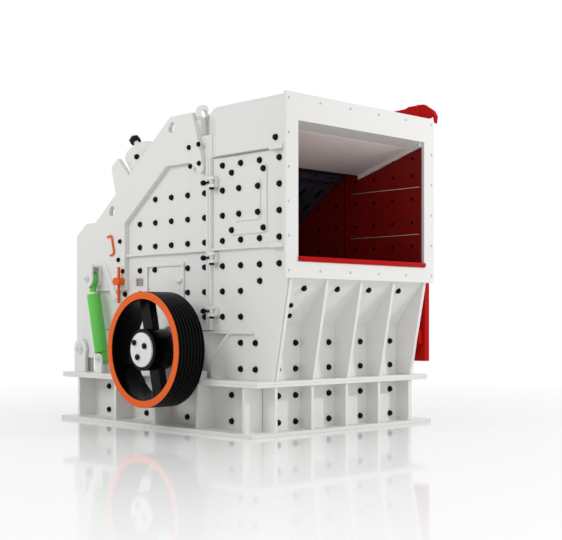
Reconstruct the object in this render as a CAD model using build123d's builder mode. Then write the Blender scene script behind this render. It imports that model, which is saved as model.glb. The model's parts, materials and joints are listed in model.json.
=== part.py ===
import math
import os

from build123d import *

os.makedirs("parts", exist_ok=True)

# Frame: +X toward the feed opening, -Y the drive side with the pulley, +Z up,
# origin under the middle of the base flange. All sizes in millimetres.

# Base frame
base_end_reach = 162.0
base_side_reach = 262.0
base_flange_thickness = 30.0
chamber_length = 2232.0
rotor_side_gap = 29.0
wall_thickness = 30.0
rib_thickness = 30.0
rib_setback = 20.0
rib_bays = 4
anchor_hole_diameter = 39.0
anchor_edge = 60.0
joint_height = 385.0
joint_flange_thickness = 23.0
joint_side_reach = 208.0
joint_flange_rear_reach = 57.0

# Split between the fixed front housing and the rear housing that swings open
split_x = 543.0
split_gap = 6.0
split_height = 389.0
split_flange_thickness = 25.0
split_flange_depth = 50.0
lower_wall_thickness = 15.0
liner_thickness = 26.0
liner_margin = 4.0

# Front housing
rib_foot_reach = 155.0
chute_bend_rise = 428.0
chute_top_drop = 116.0
feed_reach = 342.0
feed_plate_thickness = 30.0
feed_plate_margin = 13.0
feed_plate_bottom = 1235.0
feed_plate_height = 1430.0
opening_sill = 131.0
opening_head = 214.0
lip_height = 40.0
lip_depth = 50.0
lip_radius = 15.0
cheek_thickness = 20.0
cheek_margin = 12.0
cheek_notch_reach = 249.0
cheek_notch_height = 220.0
hood_drop = 15.0
hood_height = 400.0
hood_plate = 20.0
hood_overhang = 60.0
hood_facet_length = 111.0
ceiling_front_rise = 21.0
ceiling_length = 723.0
ceiling_fall = 218.0
ceiling_plate_thickness = 20.0
ceiling_rail_width = 30.0
ceiling_rail_height = 38.0
clamp_length = 70.0
clamp_depth = 60.0
clamp_height = 90.0
clamp_slot = 36.0
clamp_shares = (0.112, 0.42, 0.855)
cover_setback = 454.0
cover_drop = 380.0
cover_width = 440.0
cover_height = 540.0
cover_thickness = 10.0
cover_radius = 30.0
panel_width = 307.0
panel_height = 329.0
ledge_thickness = 20.0
ledge_depth = 32.0
ledge_share = 0.466
notch_ledge_length = 495.0

# Rotor line
rotor_x = 230.0
shaft_height = 237.0
rotor_radius = 625.0
rotor_width = 1490.0
rotor_bars = 4
bar_thickness = 90.0
bar_height = 230.0
disc_radius = 560.0
disc_thickness = 70.0
disc_count = 5
hub_tube_radius = 200.0
shaft_radius = 120.0
journal_radius = 90.0
seal_clearance = 25.0
seat_clearance = 0.05
bearing_offset = 30.0
bearing_width = 160.0
bearing_radius = 195.0
bearing_foot_length = 560.0
bearing_foot_height = 60.0
bearing_cover_radius = 150.0
bearing_cover_thickness = 16.0
pulley_radius = 477.0
pulley_width = 264.0
pulley_gap = 16.0
pulley_rim = 60.0
pulley_hub_radius = 172.0
pulley_hub_length = 210.0
pulley_spokes = 4
spoke_width = 120.0
spoke_thickness = 70.0
spoke_setback = 90.0
spoke_turn = 13.0
groove_count = 8
groove_width = 20.0
groove_depth = 14.0
groove_floor_share = 0.5
ring_thickness = 8.0
cap_radius = 142.0
cap_thickness = 34.0

# Rear housing
hinge_reach = 154.0
hinge_rise = 209.0
hinge_pin_radius = 40.0
hinge_eye_radius = 90.0
hinge_fork_radius = 95.0
hinge_fork_thickness = 28.0
hinge_fork_gap = 6.0
hinge_fork_foot = 175.0
rear_top = 2450.0
roof_break_x = 158.0
roof_angle = 37.35
rear_setback = 86.0
rear_cheek_thickness = 45.0
blade_rise = 202.0
blade_top_front = 330.0
blade_top_rear = 37.0
blade_nose_x = 430.0
blade_nose_drop = 270.0
blade_nose_radius = 45.0
blade_inner_front = 289.0
blade_inner_rear = -22.0
blade_inner_drop = 215.0
blade_leg_width = 452.0
blade_leg_length = 635.0
blade_rear_reach = 10.0
ear_shares = (0.715, 0.535)
ear_height = 238.0
ear_crown = 118.0
ear_lean = 98.0
blade_hole_length = 96.0
blade_hole_width = 72.0
blade_hole_inset = 84.0
blade_hole_turn = 60.0
blade_hole_shares = (0.03, 0.815)
column_rear_reach = 100.0
column_drop = 635.0
column_chamfer_x = 160.0
column_chamfer_z = 110.0
column_bottom_rise = 129.0
box_plate = 20.0
box_inset = 40.0
crown_drop = 10.0
lug_thickness = 30.0
lug_reach = 30.0
lug_radius = 73.0
lug_height = 195.0
lug_hole_radius = 32.0
lug_inset = 40.0
apron_thickness = 70.0
apron_side_gap = 12.0
apron_shaft_radius = 45.0
upper_apron_gap = 110.0
upper_apron_end_angle = 150.0
lower_apron_gap = 60.0
lower_apron_end_angle = 172.0
lower_apron_reach = 260.0
lower_apron_drop = 191.0
upper_apron_front_x = 470.0
upper_apron_front_drop = 225.0
upper_apron_knee_x = -200.0
upper_apron_knee_drop = 690.0
adjuster_inset = 140.0
adjuster_run = 651.0
adjuster_radius = 160.0
adjuster_height = 480.0
adjuster_foot_radius = 165.0
adjuster_foot_thickness = 25.0
adjuster_crown = 12.0
adjuster_crown_taper = 45.0
spindle_radius = 24.0
spindle_length = 206.0
spindle_nut = 46.0
spindle_nut_height = 38.0

# Opening cylinders
cylinder_offset = 70.0
cylinder_foot_reach = 200.0
cylinder_foot_rise = 129.0
cylinder_head_reach = 34.0
cylinder_head_lift = 110.0
barrel_radius = 62.0
barrel_bore = 46.0
rod_radius = 30.0
gland_length = 40.0
cylinder_pin_radius = 24.0
eye_radius = 50.0
eye_width = 50.0
eye_side_gap = 6.0
open_pivot_clearance = 20.0
rod_eye_radius = 70.0
head_room = 35.0
head_margin = 8.0
gland_room = 150.0
bracket_cheek = 18.0

# Locking rod and pull handle on each blade
lock_rod_radius = 14.0
lock_rod_length = 324.0
lock_rod_inset = 42.0
lock_rod_drop = 115.0
lock_collar_radius = 34.0
lock_collar_length = 96.0
lock_collar_share = 0.6
handle_radius = 9.0
handle_grip = 175.0
handle_return = 62.0
handle_bend = 22.0
handle_lean = 15.0
handle_inset = 147.0
handle_rise = 335.0

# Jib on the idle side
jib_setback = 141.0
jib_hood_gap = 10.0
jib_post_length = 150.0
jib_post_depth = 60.0
jib_post_lift = 119.0
jib_post_rise = 40.0
jib_bracket_length = 100.0
jib_bracket_height = 120.0
jib_bracket_rise = 329.0
jib_bracket_drop = 250.0
jib_spigot_radius = 22.0
jib_spigot_height = 60.0
jib_arm_thickness = 40.0
jib_collar_radius = 34.0
jib_arm_length = 490.0
jib_arm_rise = 126.0
jib_outline_shares = (
    (-0.63, 0.85),
    (-0.31, 0.89),
    (-0.25, 1.0),
    (0.10, 1.0),
    (0.31, 0.45),
    (0.37, 0.05),
    (0.35, -0.45),
    (0.32, 0.0),
    (0.27, 0.12),
    (0.23, 0.0),
    (-0.25, 0.0),
)

sides = ("drive", "idle")
overrun = 10.0
lift_gap = 0.3

# Derived stations
chamber_width = rotor_width + 2 * (liner_thickness + rotor_side_gap)
chamber_half = chamber_width / 2
wall_outer = chamber_half + wall_thickness
end_wall_outer = chamber_length / 2 + wall_thickness
base_length = 2 * (end_wall_outer + base_end_reach)
base_width = 2 * (wall_outer + base_side_reach)
joint_flange_width = 2 * (wall_outer + joint_side_reach)
joint_top = joint_height + 2 * joint_flange_thickness
split_z = joint_top + split_height
split_front = split_x + split_gap / 2
split_rear = split_x - split_gap / 2
feed_x = chamber_length / 2 + feed_reach
rib_foot_x = end_wall_outer + rib_foot_reach
opening_bottom = feed_plate_bottom + opening_sill
opening_height = feed_plate_height - opening_sill - opening_head
chute_bend_z = joint_top + chute_bend_rise
chute_top_z = opening_bottom - chute_top_drop
chute_run = feed_x - end_wall_outer
chute_slope = math.atan2(chute_top_z - chute_bend_z, chute_run)
chute_inner_bend_z = chute_bend_z + wall_thickness * (1 - math.sin(chute_slope)) / math.cos(chute_slope)
chute_inner_top_z = chute_top_z + wall_thickness / math.cos(chute_slope)
opening_top = opening_bottom + opening_height
liner_inner = chamber_half - liner_thickness
opening_width = 2 * (liner_inner - liner_margin)
hood_top = feed_plate_bottom + feed_plate_height - hood_drop
hood_bottom = hood_top - hood_height
hood_half = wall_outer + hood_overhang
feed_plate_width = 2 * (hood_half + feed_plate_margin)
cover_x = feed_x - cover_setback
cover_z = hood_bottom - cover_drop
rear_x = -end_wall_outer + rear_setback
hinge_x = -end_wall_outer - hinge_reach
rotor_z = joint_top + shaft_height
rotor_axis = Axis((rotor_x, 0, rotor_z), (0, 1, 0))


def side_planes(inner, thickness):
    # upright planes from which an extrusion by thickness fills the span outward of inner, on both sides
    return Plane.XZ.offset(inner), Plane.XZ.offset(-inner - thickness)


def side_plane(side, inner, thickness):
    return side_planes(inner, thickness)[sides.index(side)]


# Base flange with its anchor holes
side_pitch = (chamber_length + wall_thickness) / rib_bays
end_pitch = (chamber_width + wall_thickness) / rib_bays
side_anchor_y = base_width / 2 - anchor_edge
end_anchor_x = base_length / 2 - anchor_edge

with BuildPart() as base_flange:
    with BuildSketch(Plane.XY):
        Rectangle(base_length, base_width)
        Rectangle(chamber_length, chamber_width, mode=Mode.SUBTRACT)
        with GridLocations(side_pitch, 2 * side_anchor_y, rib_bays, 2):
            Circle(anchor_hole_diameter / 2, mode=Mode.SUBTRACT)
        with GridLocations(2 * end_anchor_x, end_pitch, 2, 2):
            Circle(anchor_hole_diameter / 2, mode=Mode.SUBTRACT)
    extrude(amount=base_flange_thickness)
base_flange.part.label = "base_flange"
export_step(base_flange.part, "parts/base_flange.step")

# Base walls between the base flange and the bolted joint
base_wall_height = joint_height - base_flange_thickness

with BuildPart() as base_end_walls:
    with BuildSketch(Plane.XY.offset(base_flange_thickness)):
        with GridLocations(2 * end_wall_outer - wall_thickness, 0, 2, 1):
            Rectangle(wall_thickness, 2 * wall_outer)
    extrude(amount=base_wall_height)
base_end_walls.part.label = "base_end_walls"
export_step(base_end_walls.part, "parts/base_end_walls.step")

with BuildPart() as base_side_walls:
    with BuildSketch(Plane.XY.offset(base_flange_thickness)):
        with GridLocations(0, 2 * wall_outer - wall_thickness, 1, 2):
            Rectangle(chamber_length, wall_thickness)
    extrude(amount=base_wall_height)
base_side_walls.part.label = "base_side_walls"
export_step(base_side_walls.part, "parts/base_side_walls.step")

# Upright ribs between the flanges, in line with the walls at the corners
end_rib_reach = base_length / 2 - rib_setback - end_wall_outer
end_rib_x = end_wall_outer + end_rib_reach / 2
side_rib_reach = joint_flange_width / 2 - rib_setback - wall_outer
side_rib_y = wall_outer + side_rib_reach / 2

with BuildPart() as base_end_ribs:
    with BuildSketch(Plane.XY.offset(base_flange_thickness)):
        with GridLocations(2 * end_rib_x, end_pitch, 2, rib_bays + 1):
            Rectangle(end_rib_reach, rib_thickness)
    extrude(amount=base_wall_height)
base_end_ribs.part.label = "base_end_ribs"
export_step(base_end_ribs.part, "parts/base_end_ribs.step")

with BuildPart() as base_side_ribs:
    with BuildSketch(Plane.XY.offset(base_flange_thickness)):
        with GridLocations(side_pitch, 2 * side_rib_y, rib_bays + 1, 2):
            Rectangle(rib_thickness, side_rib_reach)
    extrude(amount=base_wall_height)
base_side_ribs.part.label = "base_side_ribs"
export_step(base_side_ribs.part, "parts/base_side_ribs.step")

# The two halves of the bolted joint between base frame and housing
joint_length = base_length + joint_flange_rear_reach

for level, name in enumerate(("base_top_flange", "housing_flange")):
    with BuildPart() as joint_flange:
        with BuildSketch(Plane.XY.offset(joint_height + level * joint_flange_thickness)):
            with Locations((-joint_flange_rear_reach / 2, 0)):
                Rectangle(joint_length, joint_flange_width)
            Rectangle(chamber_length, chamber_width, mode=Mode.SUBTRACT)
        extrude(amount=joint_flange_thickness)
    joint_flange.part.label = name
    export_step(joint_flange.part, f"parts/{name}.step")

# Lower side walls behind the bearings, and the low rear wall
shaft_hole_radius = journal_radius + seal_clearance

with BuildPart() as lower_side_walls:
    with BuildSketch(*side_planes(chamber_half, lower_wall_thickness)):
        with BuildLine():
            Polyline(
                (-end_wall_outer, joint_top),
                (split_front, joint_top),
                (split_front, split_z),
                (-end_wall_outer, split_z),
                close=True,
            )
        make_face()
        with Locations((rotor_x, rotor_z)):
            Circle(shaft_hole_radius, mode=Mode.SUBTRACT)
    extrude(amount=lower_wall_thickness)
lower_side_walls.part.label = "lower_side_walls"
export_step(lower_side_walls.part, "parts/lower_side_walls.step")

with BuildPart() as lower_liners:
    with BuildSketch(*side_planes(liner_inner, liner_thickness)):
        with BuildLine():
            Polyline(
                (-chamber_length / 2 + liner_margin, joint_top + liner_margin),
                (split_front, joint_top + liner_margin),
                (split_front, split_z - liner_margin),
                (-chamber_length / 2 + liner_margin, split_z - liner_margin),
                close=True,
            )
        make_face()
        with Locations((rotor_x, rotor_z)):
            Circle(shaft_hole_radius, mode=Mode.SUBTRACT)
    extrude(amount=liner_thickness)
lower_liners.part.label = "lower_liners"
export_step(lower_liners.part, "parts/lower_liners.step")

with BuildPart() as lower_rear_wall:
    with BuildSketch(Plane.XY.offset(joint_top)):
        with Locations((-end_wall_outer + wall_thickness / 2, 0)):
            Rectangle(wall_thickness, chamber_width)
    extrude(amount=split_height)
lower_rear_wall.part.label = "lower_rear_wall"
export_step(lower_rear_wall.part, "parts/lower_rear_wall.step")

# Front housing: side walls, raised cheek plates with the bearing notch, red wear liners
cheek_outer = wall_outer + cheek_thickness
cheek_rear = split_front + split_flange_thickness
ceiling_front_z = opening_top + ceiling_front_rise
ceiling_rear_x = feed_x - ceiling_length
ceiling_rear_z = ceiling_front_z - ceiling_fall
ceiling_slope = math.atan2(ceiling_fall, ceiling_length)
ceiling_meets_hood_x = feed_x - ceiling_length * (ceiling_front_z - hood_bottom) / ceiling_fall

with BuildPart() as front_side_walls:
    with BuildSketch(*side_planes(chamber_half, wall_thickness)):
        with BuildLine():
            Polyline(
                (split_front, joint_top),
                (rib_foot_x, joint_top),
                (feed_x, feed_plate_bottom),
                (feed_x, hood_bottom),
                (split_front, hood_bottom),
                close=True,
            )
        make_face()
    extrude(amount=wall_thickness)
front_side_walls.part.label = "front_side_walls"
export_step(front_side_walls.part, "parts/front_side_walls.step")

with BuildPart() as front_cheeks:
    with BuildSketch(*side_planes(wall_outer, cheek_thickness)):
        with BuildLine():
            Polyline(
                (split_front, joint_top),
                (rib_foot_x - cheek_margin, joint_top),
                (feed_x - cheek_margin, feed_plate_bottom),
                (feed_x - cheek_margin, hood_bottom - cheek_margin),
                (cheek_rear, hood_bottom - cheek_margin),
                (cheek_rear, split_z),
                (split_front + cheek_notch_reach, split_z),
                (split_front, split_z - cheek_notch_height),
                close=True,
            )
        make_face()
    extrude(amount=cheek_thickness)
front_cheeks.part.label = "front_cheeks"
export_step(front_cheeks.part, "parts/front_cheeks.step")

with BuildPart() as front_liners:
    with BuildSketch(*side_planes(liner_inner, liner_thickness)):
        with BuildLine():
            Polyline(
                (split_front + liner_margin, joint_top + liner_margin),
                (chamber_length / 2 - liner_margin, joint_top + liner_margin),
                (chamber_length / 2 - liner_margin, chute_inner_bend_z + liner_margin),
                (feed_x - liner_margin, chute_inner_top_z + liner_margin),
                (feed_x - liner_margin, ceiling_front_z),
                (ceiling_meets_hood_x, hood_bottom),
                (split_front + liner_margin, hood_bottom),
                close=True,
            )
        make_face()
    extrude(amount=liner_thickness)
front_liners.part.label = "front_liners"
export_step(front_liners.part, "parts/front_liners.step")

# Front wall that bends out into the chute floor, with the ribs that brace it
with BuildPart() as front_wall:
    with BuildSketch(Plane.XZ):
        with BuildLine():
            Polyline(
                (end_wall_outer, joint_top),
                (end_wall_outer, chute_bend_z),
                (feed_x, chute_top_z),
                (feed_x, chute_inner_top_z),
                (chamber_length / 2, chute_inner_bend_z),
                (chamber_length / 2, joint_top),
                close=True,
            )
        make_face()
    extrude(amount=chamber_half, both=True)
front_wall.part.label = "front_wall"
export_step(front_wall.part, "parts/front_wall.step")

inner_rib_ys = [end_pitch * (bay - rib_bays / 2) for bay in range(1, rib_bays)]

with BuildPart() as front_ribs:
    with BuildSketch(*[Plane.XZ.offset(rib_y) for rib_y in inner_rib_ys]):
        with BuildLine():
            Polyline(
                (end_wall_outer, joint_top),
                (rib_foot_x, joint_top),
                (feed_x, feed_plate_bottom),
                (feed_x, chute_top_z),
                (end_wall_outer, chute_bend_z),
                close=True,
            )
        make_face()
    extrude(amount=rib_thickness / 2, both=True)
front_ribs.part.label = "front_ribs"
export_step(front_ribs.part, "parts/front_ribs.step")

# Feed plate round the opening, and the red lip on its sill
with BuildPart() as feed_plate:
    with BuildSketch(Plane.YZ.offset(feed_x)):
        with Locations((0, feed_plate_bottom + feed_plate_height / 2)):
            Rectangle(feed_plate_width, feed_plate_height)
        with Locations((0, opening_bottom + opening_height / 2)):
            Rectangle(opening_width, opening_height, mode=Mode.SUBTRACT)
    extrude(amount=feed_plate_thickness)
feed_plate.part.label = "feed_plate"
export_step(feed_plate.part, "parts/feed_plate.step")

with BuildPart() as feed_lip:
    with BuildSketch(Plane.XZ):
        with Locations((feed_x + lip_depth / 2, opening_bottom + lip_height / 2)):
            RectangleRounded(lip_depth, lip_height, lip_radius)
    extrude(amount=opening_width / 2, both=True)
feed_lip.part.label = "feed_lip"
export_step(feed_lip.part, "parts/feed_lip.step")

# Hood over the feed: bent side plates with a ledge, and a roof turned down at the rear
hood_bend_x = split_front + hood_facet_length
hood_inner = hood_half - hood_plate
hood_tail = wall_outer - hood_plate

with BuildPart() as hood_sides:
    with BuildSketch(Plane.XY.offset(hood_bottom)):
        with BuildLine():
            Polyline(
                (feed_x, hood_half),
                (hood_bend_x, hood_half),
                (split_front, wall_outer),
                (split_front, hood_tail),
                (hood_bend_x, hood_inner),
                (feed_x, hood_inner),
                close=True,
            )
        make_face()
    extrude(amount=hood_height - hood_plate)
    with BuildSketch(Plane.XY.offset(hood_bottom)):
        with BuildLine():
            Polyline(
                (feed_x, hood_inner),
                (hood_bend_x, hood_inner),
                (split_front, hood_tail),
                (split_front, chamber_half),
                (feed_x, chamber_half),
                close=True,
            )
        make_face()
    extrude(amount=hood_plate)
    mirror(about=Plane.XZ)
hood_sides.part.label = "hood_sides"
export_step(hood_sides.part, "parts/hood_sides.step")

with BuildPart() as hood_roof:
    with BuildSketch(Plane.XY.offset(hood_top - hood_plate)):
        with BuildLine():
            Polyline(
                (feed_x, -hood_half),
                (hood_bend_x, -hood_half),
                (split_front, -wall_outer),
                (split_front, wall_outer),
                (hood_bend_x, hood_half),
                (feed_x, hood_half),
                close=True,
            )
        make_face()
    extrude(amount=hood_plate)
    with BuildSketch(Plane.XY.offset(hood_bottom + hood_plate)):
        with Locations((split_front + hood_plate / 2, 0)):
            Rectangle(hood_plate, 2 * hood_tail)
    extrude(amount=hood_height - 2 * hood_plate)
hood_roof.part.label = "hood_roof"
export_step(hood_roof.part, "parts/hood_roof.step")

# Sloping ceiling plate with a hanging rail along each side
ceiling_drop = ceiling_plate_thickness / math.cos(ceiling_slope)
rail_drop = ceiling_drop + ceiling_rail_height

with BuildPart() as ceiling_plate:
    with BuildSketch(Plane.XZ):
        with BuildLine():
            Polyline(
                (feed_x, ceiling_front_z),
                (ceiling_rear_x, ceiling_rear_z),
                (ceiling_rear_x, ceiling_rear_z - ceiling_drop),
                (feed_x, ceiling_front_z - ceiling_drop),
                close=True,
            )
        make_face()
    extrude(amount=liner_inner, both=True)
    with BuildSketch(*side_planes(liner_inner - ceiling_rail_width, ceiling_rail_width)):
        with BuildLine():
            Polyline(
                (feed_x, ceiling_front_z - ceiling_drop),
                (ceiling_rear_x, ceiling_rear_z - ceiling_drop),
                (ceiling_rear_x, ceiling_rear_z - rail_drop),
                (feed_x, ceiling_front_z - rail_drop),
                close=True,
            )
        make_face()
    extrude(amount=ceiling_rail_width)
ceiling_plate.part.label = "ceiling_plate"
export_step(ceiling_plate.part, "parts/ceiling_plate.step")

# Upright flanges at the split
split_flange_bottom = split_z + split_gap
split_flange_y = wall_outer + split_flange_depth / 2

for owner, flange_x in (
    ("front", split_front + split_flange_thickness / 2),
    ("rear", split_rear - split_flange_thickness / 2),
):
    with BuildPart() as split_flanges:
        with BuildSketch(Plane.XY.offset(split_flange_bottom)):
            with Locations((flange_x, -split_flange_y), (flange_x, split_flange_y)):
                Rectangle(split_flange_thickness, split_flange_depth)
        extrude(amount=hood_bottom - split_flange_bottom)
    split_flanges.part.label = f"{owner}_split_flanges"
    export_step(split_flanges.part, f"parts/{owner}_split_flanges.step")

# Slotted brackets for the swing bolts, on the cheek plates beside the split
clamp_x = cheek_rear + clamp_length / 2
clamp_y = cheek_outer + clamp_depth / 2
clamp_slot_y = clamp_y + clamp_depth / 2

with BuildPart() as split_clamps:
    for clamp_share in clamp_shares:
        clamp_z = split_flange_bottom + (hood_bottom - split_flange_bottom) * clamp_share
        with BuildSketch(Plane.XY.offset(clamp_z - clamp_height / 2)):
            with Locations((clamp_x, -clamp_y), (clamp_x, clamp_y)):
                Rectangle(clamp_length, clamp_depth)
        extrude(amount=clamp_height)
        with BuildSketch(Plane.XY.offset(clamp_z - clamp_slot / 2)):
            with Locations((clamp_x, -clamp_slot_y), (clamp_x, clamp_slot_y)):
                Rectangle(clamp_length, clamp_depth)
        extrude(amount=clamp_slot, mode=Mode.SUBTRACT)
split_clamps.part.label = "split_clamps"
export_step(split_clamps.part, "parts/split_clamps.step")

# Stiffening ledges along the front cheeks and over the bearing notch
ledge_z = split_flange_bottom + (hood_bottom - split_flange_bottom) * ledge_share
front_ledge_length = feed_x - cheek_rear

with BuildPart() as front_ledges:
    with BuildSketch(*side_planes(cheek_outer, ledge_depth)):
        with Locations((cheek_rear + front_ledge_length / 2, ledge_z)):
            Rectangle(front_ledge_length - 2 * cheek_margin, ledge_thickness)
        with Locations((cheek_rear + notch_ledge_length / 2, split_z - ledge_thickness / 2)):
            Rectangle(notch_ledge_length, ledge_thickness)
    extrude(amount=ledge_depth)
front_ledges.part.label = "front_ledges"
export_step(front_ledges.part, "parts/front_ledges.step")

# Bolted access covers with a raised panel
with BuildPart() as access_covers:
    with BuildSketch(*side_planes(cheek_outer, cover_thickness)):
        with Locations((cover_x, cover_z)):
            RectangleRounded(cover_width, cover_height, cover_radius)
    extrude(amount=cover_thickness)
    with BuildSketch(*side_planes(cheek_outer + cover_thickness, cover_thickness)):
        with Locations((cover_x, cover_z)):
            RectangleRounded(panel_width, panel_height, cover_radius)
    extrude(amount=cover_thickness)
access_covers.part.label = "access_covers"
export_step(access_covers.part, "parts/access_covers.step")

# Pillow-block bearings on the housing flange
bearing_inner = wall_outer + bearing_offset
bearing_bore = journal_radius + seat_clearance

with BuildPart() as bearing_housings:
    with BuildSketch(*side_planes(bearing_inner, bearing_width)):
        with Locations((rotor_x, joint_top + bearing_foot_height / 2)):
            Rectangle(bearing_foot_length, bearing_foot_height)
        with Locations((rotor_x, joint_top + shaft_height / 2)):
            Rectangle(2 * bearing_radius, shaft_height)
        with Locations((rotor_x, rotor_z)):
            Circle(bearing_radius)
            Circle(bearing_bore, mode=Mode.SUBTRACT)
    extrude(amount=bearing_width)
    for cover_inner in (bearing_inner + bearing_width, bearing_inner - bearing_cover_thickness):
        with BuildSketch(*side_planes(cover_inner, bearing_cover_thickness)):
            with Locations((rotor_x, rotor_z)):
                Circle(bearing_cover_radius)
                Circle(bearing_bore, mode=Mode.SUBTRACT)
        extrude(amount=bearing_cover_thickness)
bearing_housings.part.label = "bearing_housings"
export_step(bearing_housings.part, "parts/bearing_housings.step")

# Stepped rotor shaft
rotor_half = rotor_width / 2
bearing_outer = bearing_inner + bearing_width + bearing_cover_thickness
pulley_inner = joint_flange_width / 2 + pulley_gap
pulley_outer = pulley_inner + pulley_width
shaft_plane = Plane.XY.offset(rotor_z)

with BuildPart() as rotor_shaft:
    with BuildSketch(shaft_plane):
        with BuildLine():
            Polyline(
                (rotor_x, -pulley_outer),
                (rotor_x + journal_radius, -pulley_outer),
                (rotor_x + journal_radius, -rotor_half),
                (rotor_x + shaft_radius, -rotor_half),
                (rotor_x + shaft_radius, rotor_half),
                (rotor_x + journal_radius, rotor_half),
                (rotor_x + journal_radius, bearing_outer),
                (rotor_x, bearing_outer),
                close=True,
            )
        make_face()
    revolve(axis=rotor_axis)
rotor_shaft.part.label = "rotor_shaft"
export_step(rotor_shaft.part, "parts/rotor_shaft.step")

# Rotor discs on a hub tube, notched for the blow bars
bar_middle = rotor_radius - bar_height / 2
disc_pitch = (rotor_width - disc_thickness) / (disc_count - 1)
disc_ys = [disc_pitch * (index - (disc_count - 1) / 2) for index in range(disc_count)]

with BuildPart() as rotor_body:
    with BuildSketch(Plane.XZ):
        with Locations((rotor_x, rotor_z)):
            Circle(hub_tube_radius)
            Circle(shaft_radius + seat_clearance, mode=Mode.SUBTRACT)
    extrude(amount=rotor_half, both=True)
    with BuildSketch(*[Plane.XZ.offset(disc_y) for disc_y in disc_ys]):
        with Locations((rotor_x, rotor_z)):
            Circle(disc_radius)
            Circle(shaft_radius + seat_clearance, mode=Mode.SUBTRACT)
            with PolarLocations(bar_middle, rotor_bars):
                Rectangle(bar_height, bar_thickness, mode=Mode.SUBTRACT)
    extrude(amount=disc_thickness / 2, both=True)
rotor_body.part.label = "rotor_body"
export_step(rotor_body.part, "parts/rotor_body.step")

with BuildPart() as blow_bars:
    with BuildSketch(Plane.XZ):
        with Locations((rotor_x, rotor_z)):
            with PolarLocations(bar_middle, rotor_bars):
                Rectangle(bar_height, bar_thickness)
    extrude(amount=rotor_half, both=True)
blow_bars.part.label = "blow_bars"
export_step(blow_bars.part, "parts/blow_bars.step")

# Grooved belt pulley with four spokes, its painted rim ring and the hub cap
groove_pitch = pulley_width / groove_count
groove_floor = groove_width * groove_floor_share
groove_root = rotor_x + pulley_radius - groove_depth
rim_inner = pulley_radius - pulley_rim
spoke_middle = (pulley_hub_radius + rim_inner) / 2
spoke_length = rim_inner - pulley_hub_radius + 2 * overrun

with BuildPart() as pulley:
    with BuildSketch(shaft_plane):
        with Locations((rotor_x + pulley_radius - pulley_rim / 2, -pulley_inner - pulley_width / 2)):
            Rectangle(pulley_rim, pulley_width)
        for groove in range(groove_count):
            groove_y = -pulley_inner - groove_pitch * (groove + 1 / 2)
            with BuildLine():
                Polyline(
                    (rotor_x + pulley_radius, groove_y - groove_width / 2),
                    (groove_root, groove_y - groove_floor / 2),
                    (groove_root, groove_y + groove_floor / 2),
                    (rotor_x + pulley_radius, groove_y + groove_width / 2),
                    close=True,
                )
            make_face(mode=Mode.SUBTRACT)
    revolve(axis=rotor_axis)
    with BuildSketch(Plane.XZ.offset(pulley_outer - pulley_hub_length)):
        with Locations((rotor_x, rotor_z)):
            Circle(pulley_hub_radius)
            Circle(journal_radius + seat_clearance, mode=Mode.SUBTRACT)
    extrude(amount=pulley_hub_length)
    with BuildSketch(Plane.XZ.offset(pulley_outer - spoke_setback - spoke_thickness)):
        with Locations((rotor_x, rotor_z)):
            with PolarLocations(spoke_middle, pulley_spokes, start_angle=spoke_turn):
                Rectangle(spoke_length, spoke_width)
    extrude(amount=spoke_thickness)
pulley.part.label = "pulley"
export_step(pulley.part, "parts/pulley.step")

with BuildPart() as pulley_ring:
    with BuildSketch(Plane.XZ.offset(pulley_outer)):
        with Locations((rotor_x, rotor_z)):
            Circle(pulley_radius)
            Circle(rim_inner, mode=Mode.SUBTRACT)
    extrude(amount=ring_thickness)
pulley_ring.part.label = "pulley_ring"
export_step(pulley_ring.part, "parts/pulley_ring.step")

with BuildPart() as hub_cap:
    with BuildSketch(Plane.XZ.offset(pulley_outer)):
        with Locations((rotor_x, rotor_z)):
            Circle(cap_radius)
    extrude(amount=cap_thickness)
hub_cap.part.label = "hub_cap"
export_step(hub_cap.part, "parts/hub_cap.step")

# Rear housing: side walls, liners, roof and back wall
hinge_z = joint_top + hinge_rise
roof_slope = math.radians(roof_angle)
rear_bottom = split_z + split_gap
rear_roof_z = rear_top - (roof_break_x - rear_x) * math.tan(roof_slope)
roof_drop = wall_thickness / math.cos(roof_slope)
roof_underside = rear_top - wall_thickness
roof_inner_break_x = roof_break_x + wall_thickness * (1 - math.cos(roof_slope)) / math.sin(roof_slope)
back_inner_x = rear_x + wall_thickness
back_inner_z = rear_roof_z - roof_drop + wall_thickness * math.tan(roof_slope)
upper_apron_front_z = rear_top - upper_apron_front_drop
upper_apron_knee_z = rear_top - upper_apron_knee_drop
lower_apron_top_x = rear_x + lower_apron_reach
lower_apron_top_z = rear_roof_z - lower_apron_drop
upper_shaft = (upper_apron_front_x, upper_apron_front_z)
lower_shaft = (lower_apron_top_x, lower_apron_top_z)

with BuildPart() as rear_side_walls:
    with BuildSketch(*side_planes(chamber_half, wall_thickness)):
        with BuildLine():
            Polyline(
                (split_rear, rear_bottom),
                (split_rear, rear_top),
                (roof_break_x, rear_top),
                (rear_x, rear_roof_z),
                (rear_x, rear_bottom),
                close=True,
            )
        make_face()
    extrude(amount=wall_thickness)
rear_side_walls.part.label = "rear_side_walls"
export_step(rear_side_walls.part, "parts/rear_side_walls.step")

with BuildPart() as rear_liners:
    with BuildSketch(*side_planes(liner_inner, liner_thickness)):
        with BuildLine():
            Polyline(
                (split_rear - liner_margin, rear_bottom + liner_margin),
                (split_rear - liner_margin, roof_underside - liner_margin),
                (roof_inner_break_x, roof_underside - liner_margin),
                (back_inner_x + liner_margin, back_inner_z - liner_margin),
                (back_inner_x + liner_margin, rear_bottom + liner_margin),
                close=True,
            )
        make_face()
        with Locations(upper_shaft, lower_shaft):
            Circle(apron_shaft_radius + liner_margin, mode=Mode.SUBTRACT)
    extrude(amount=liner_thickness)
rear_liners.part.label = "rear_liners"
export_step(rear_liners.part, "parts/rear_liners.step")

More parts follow.
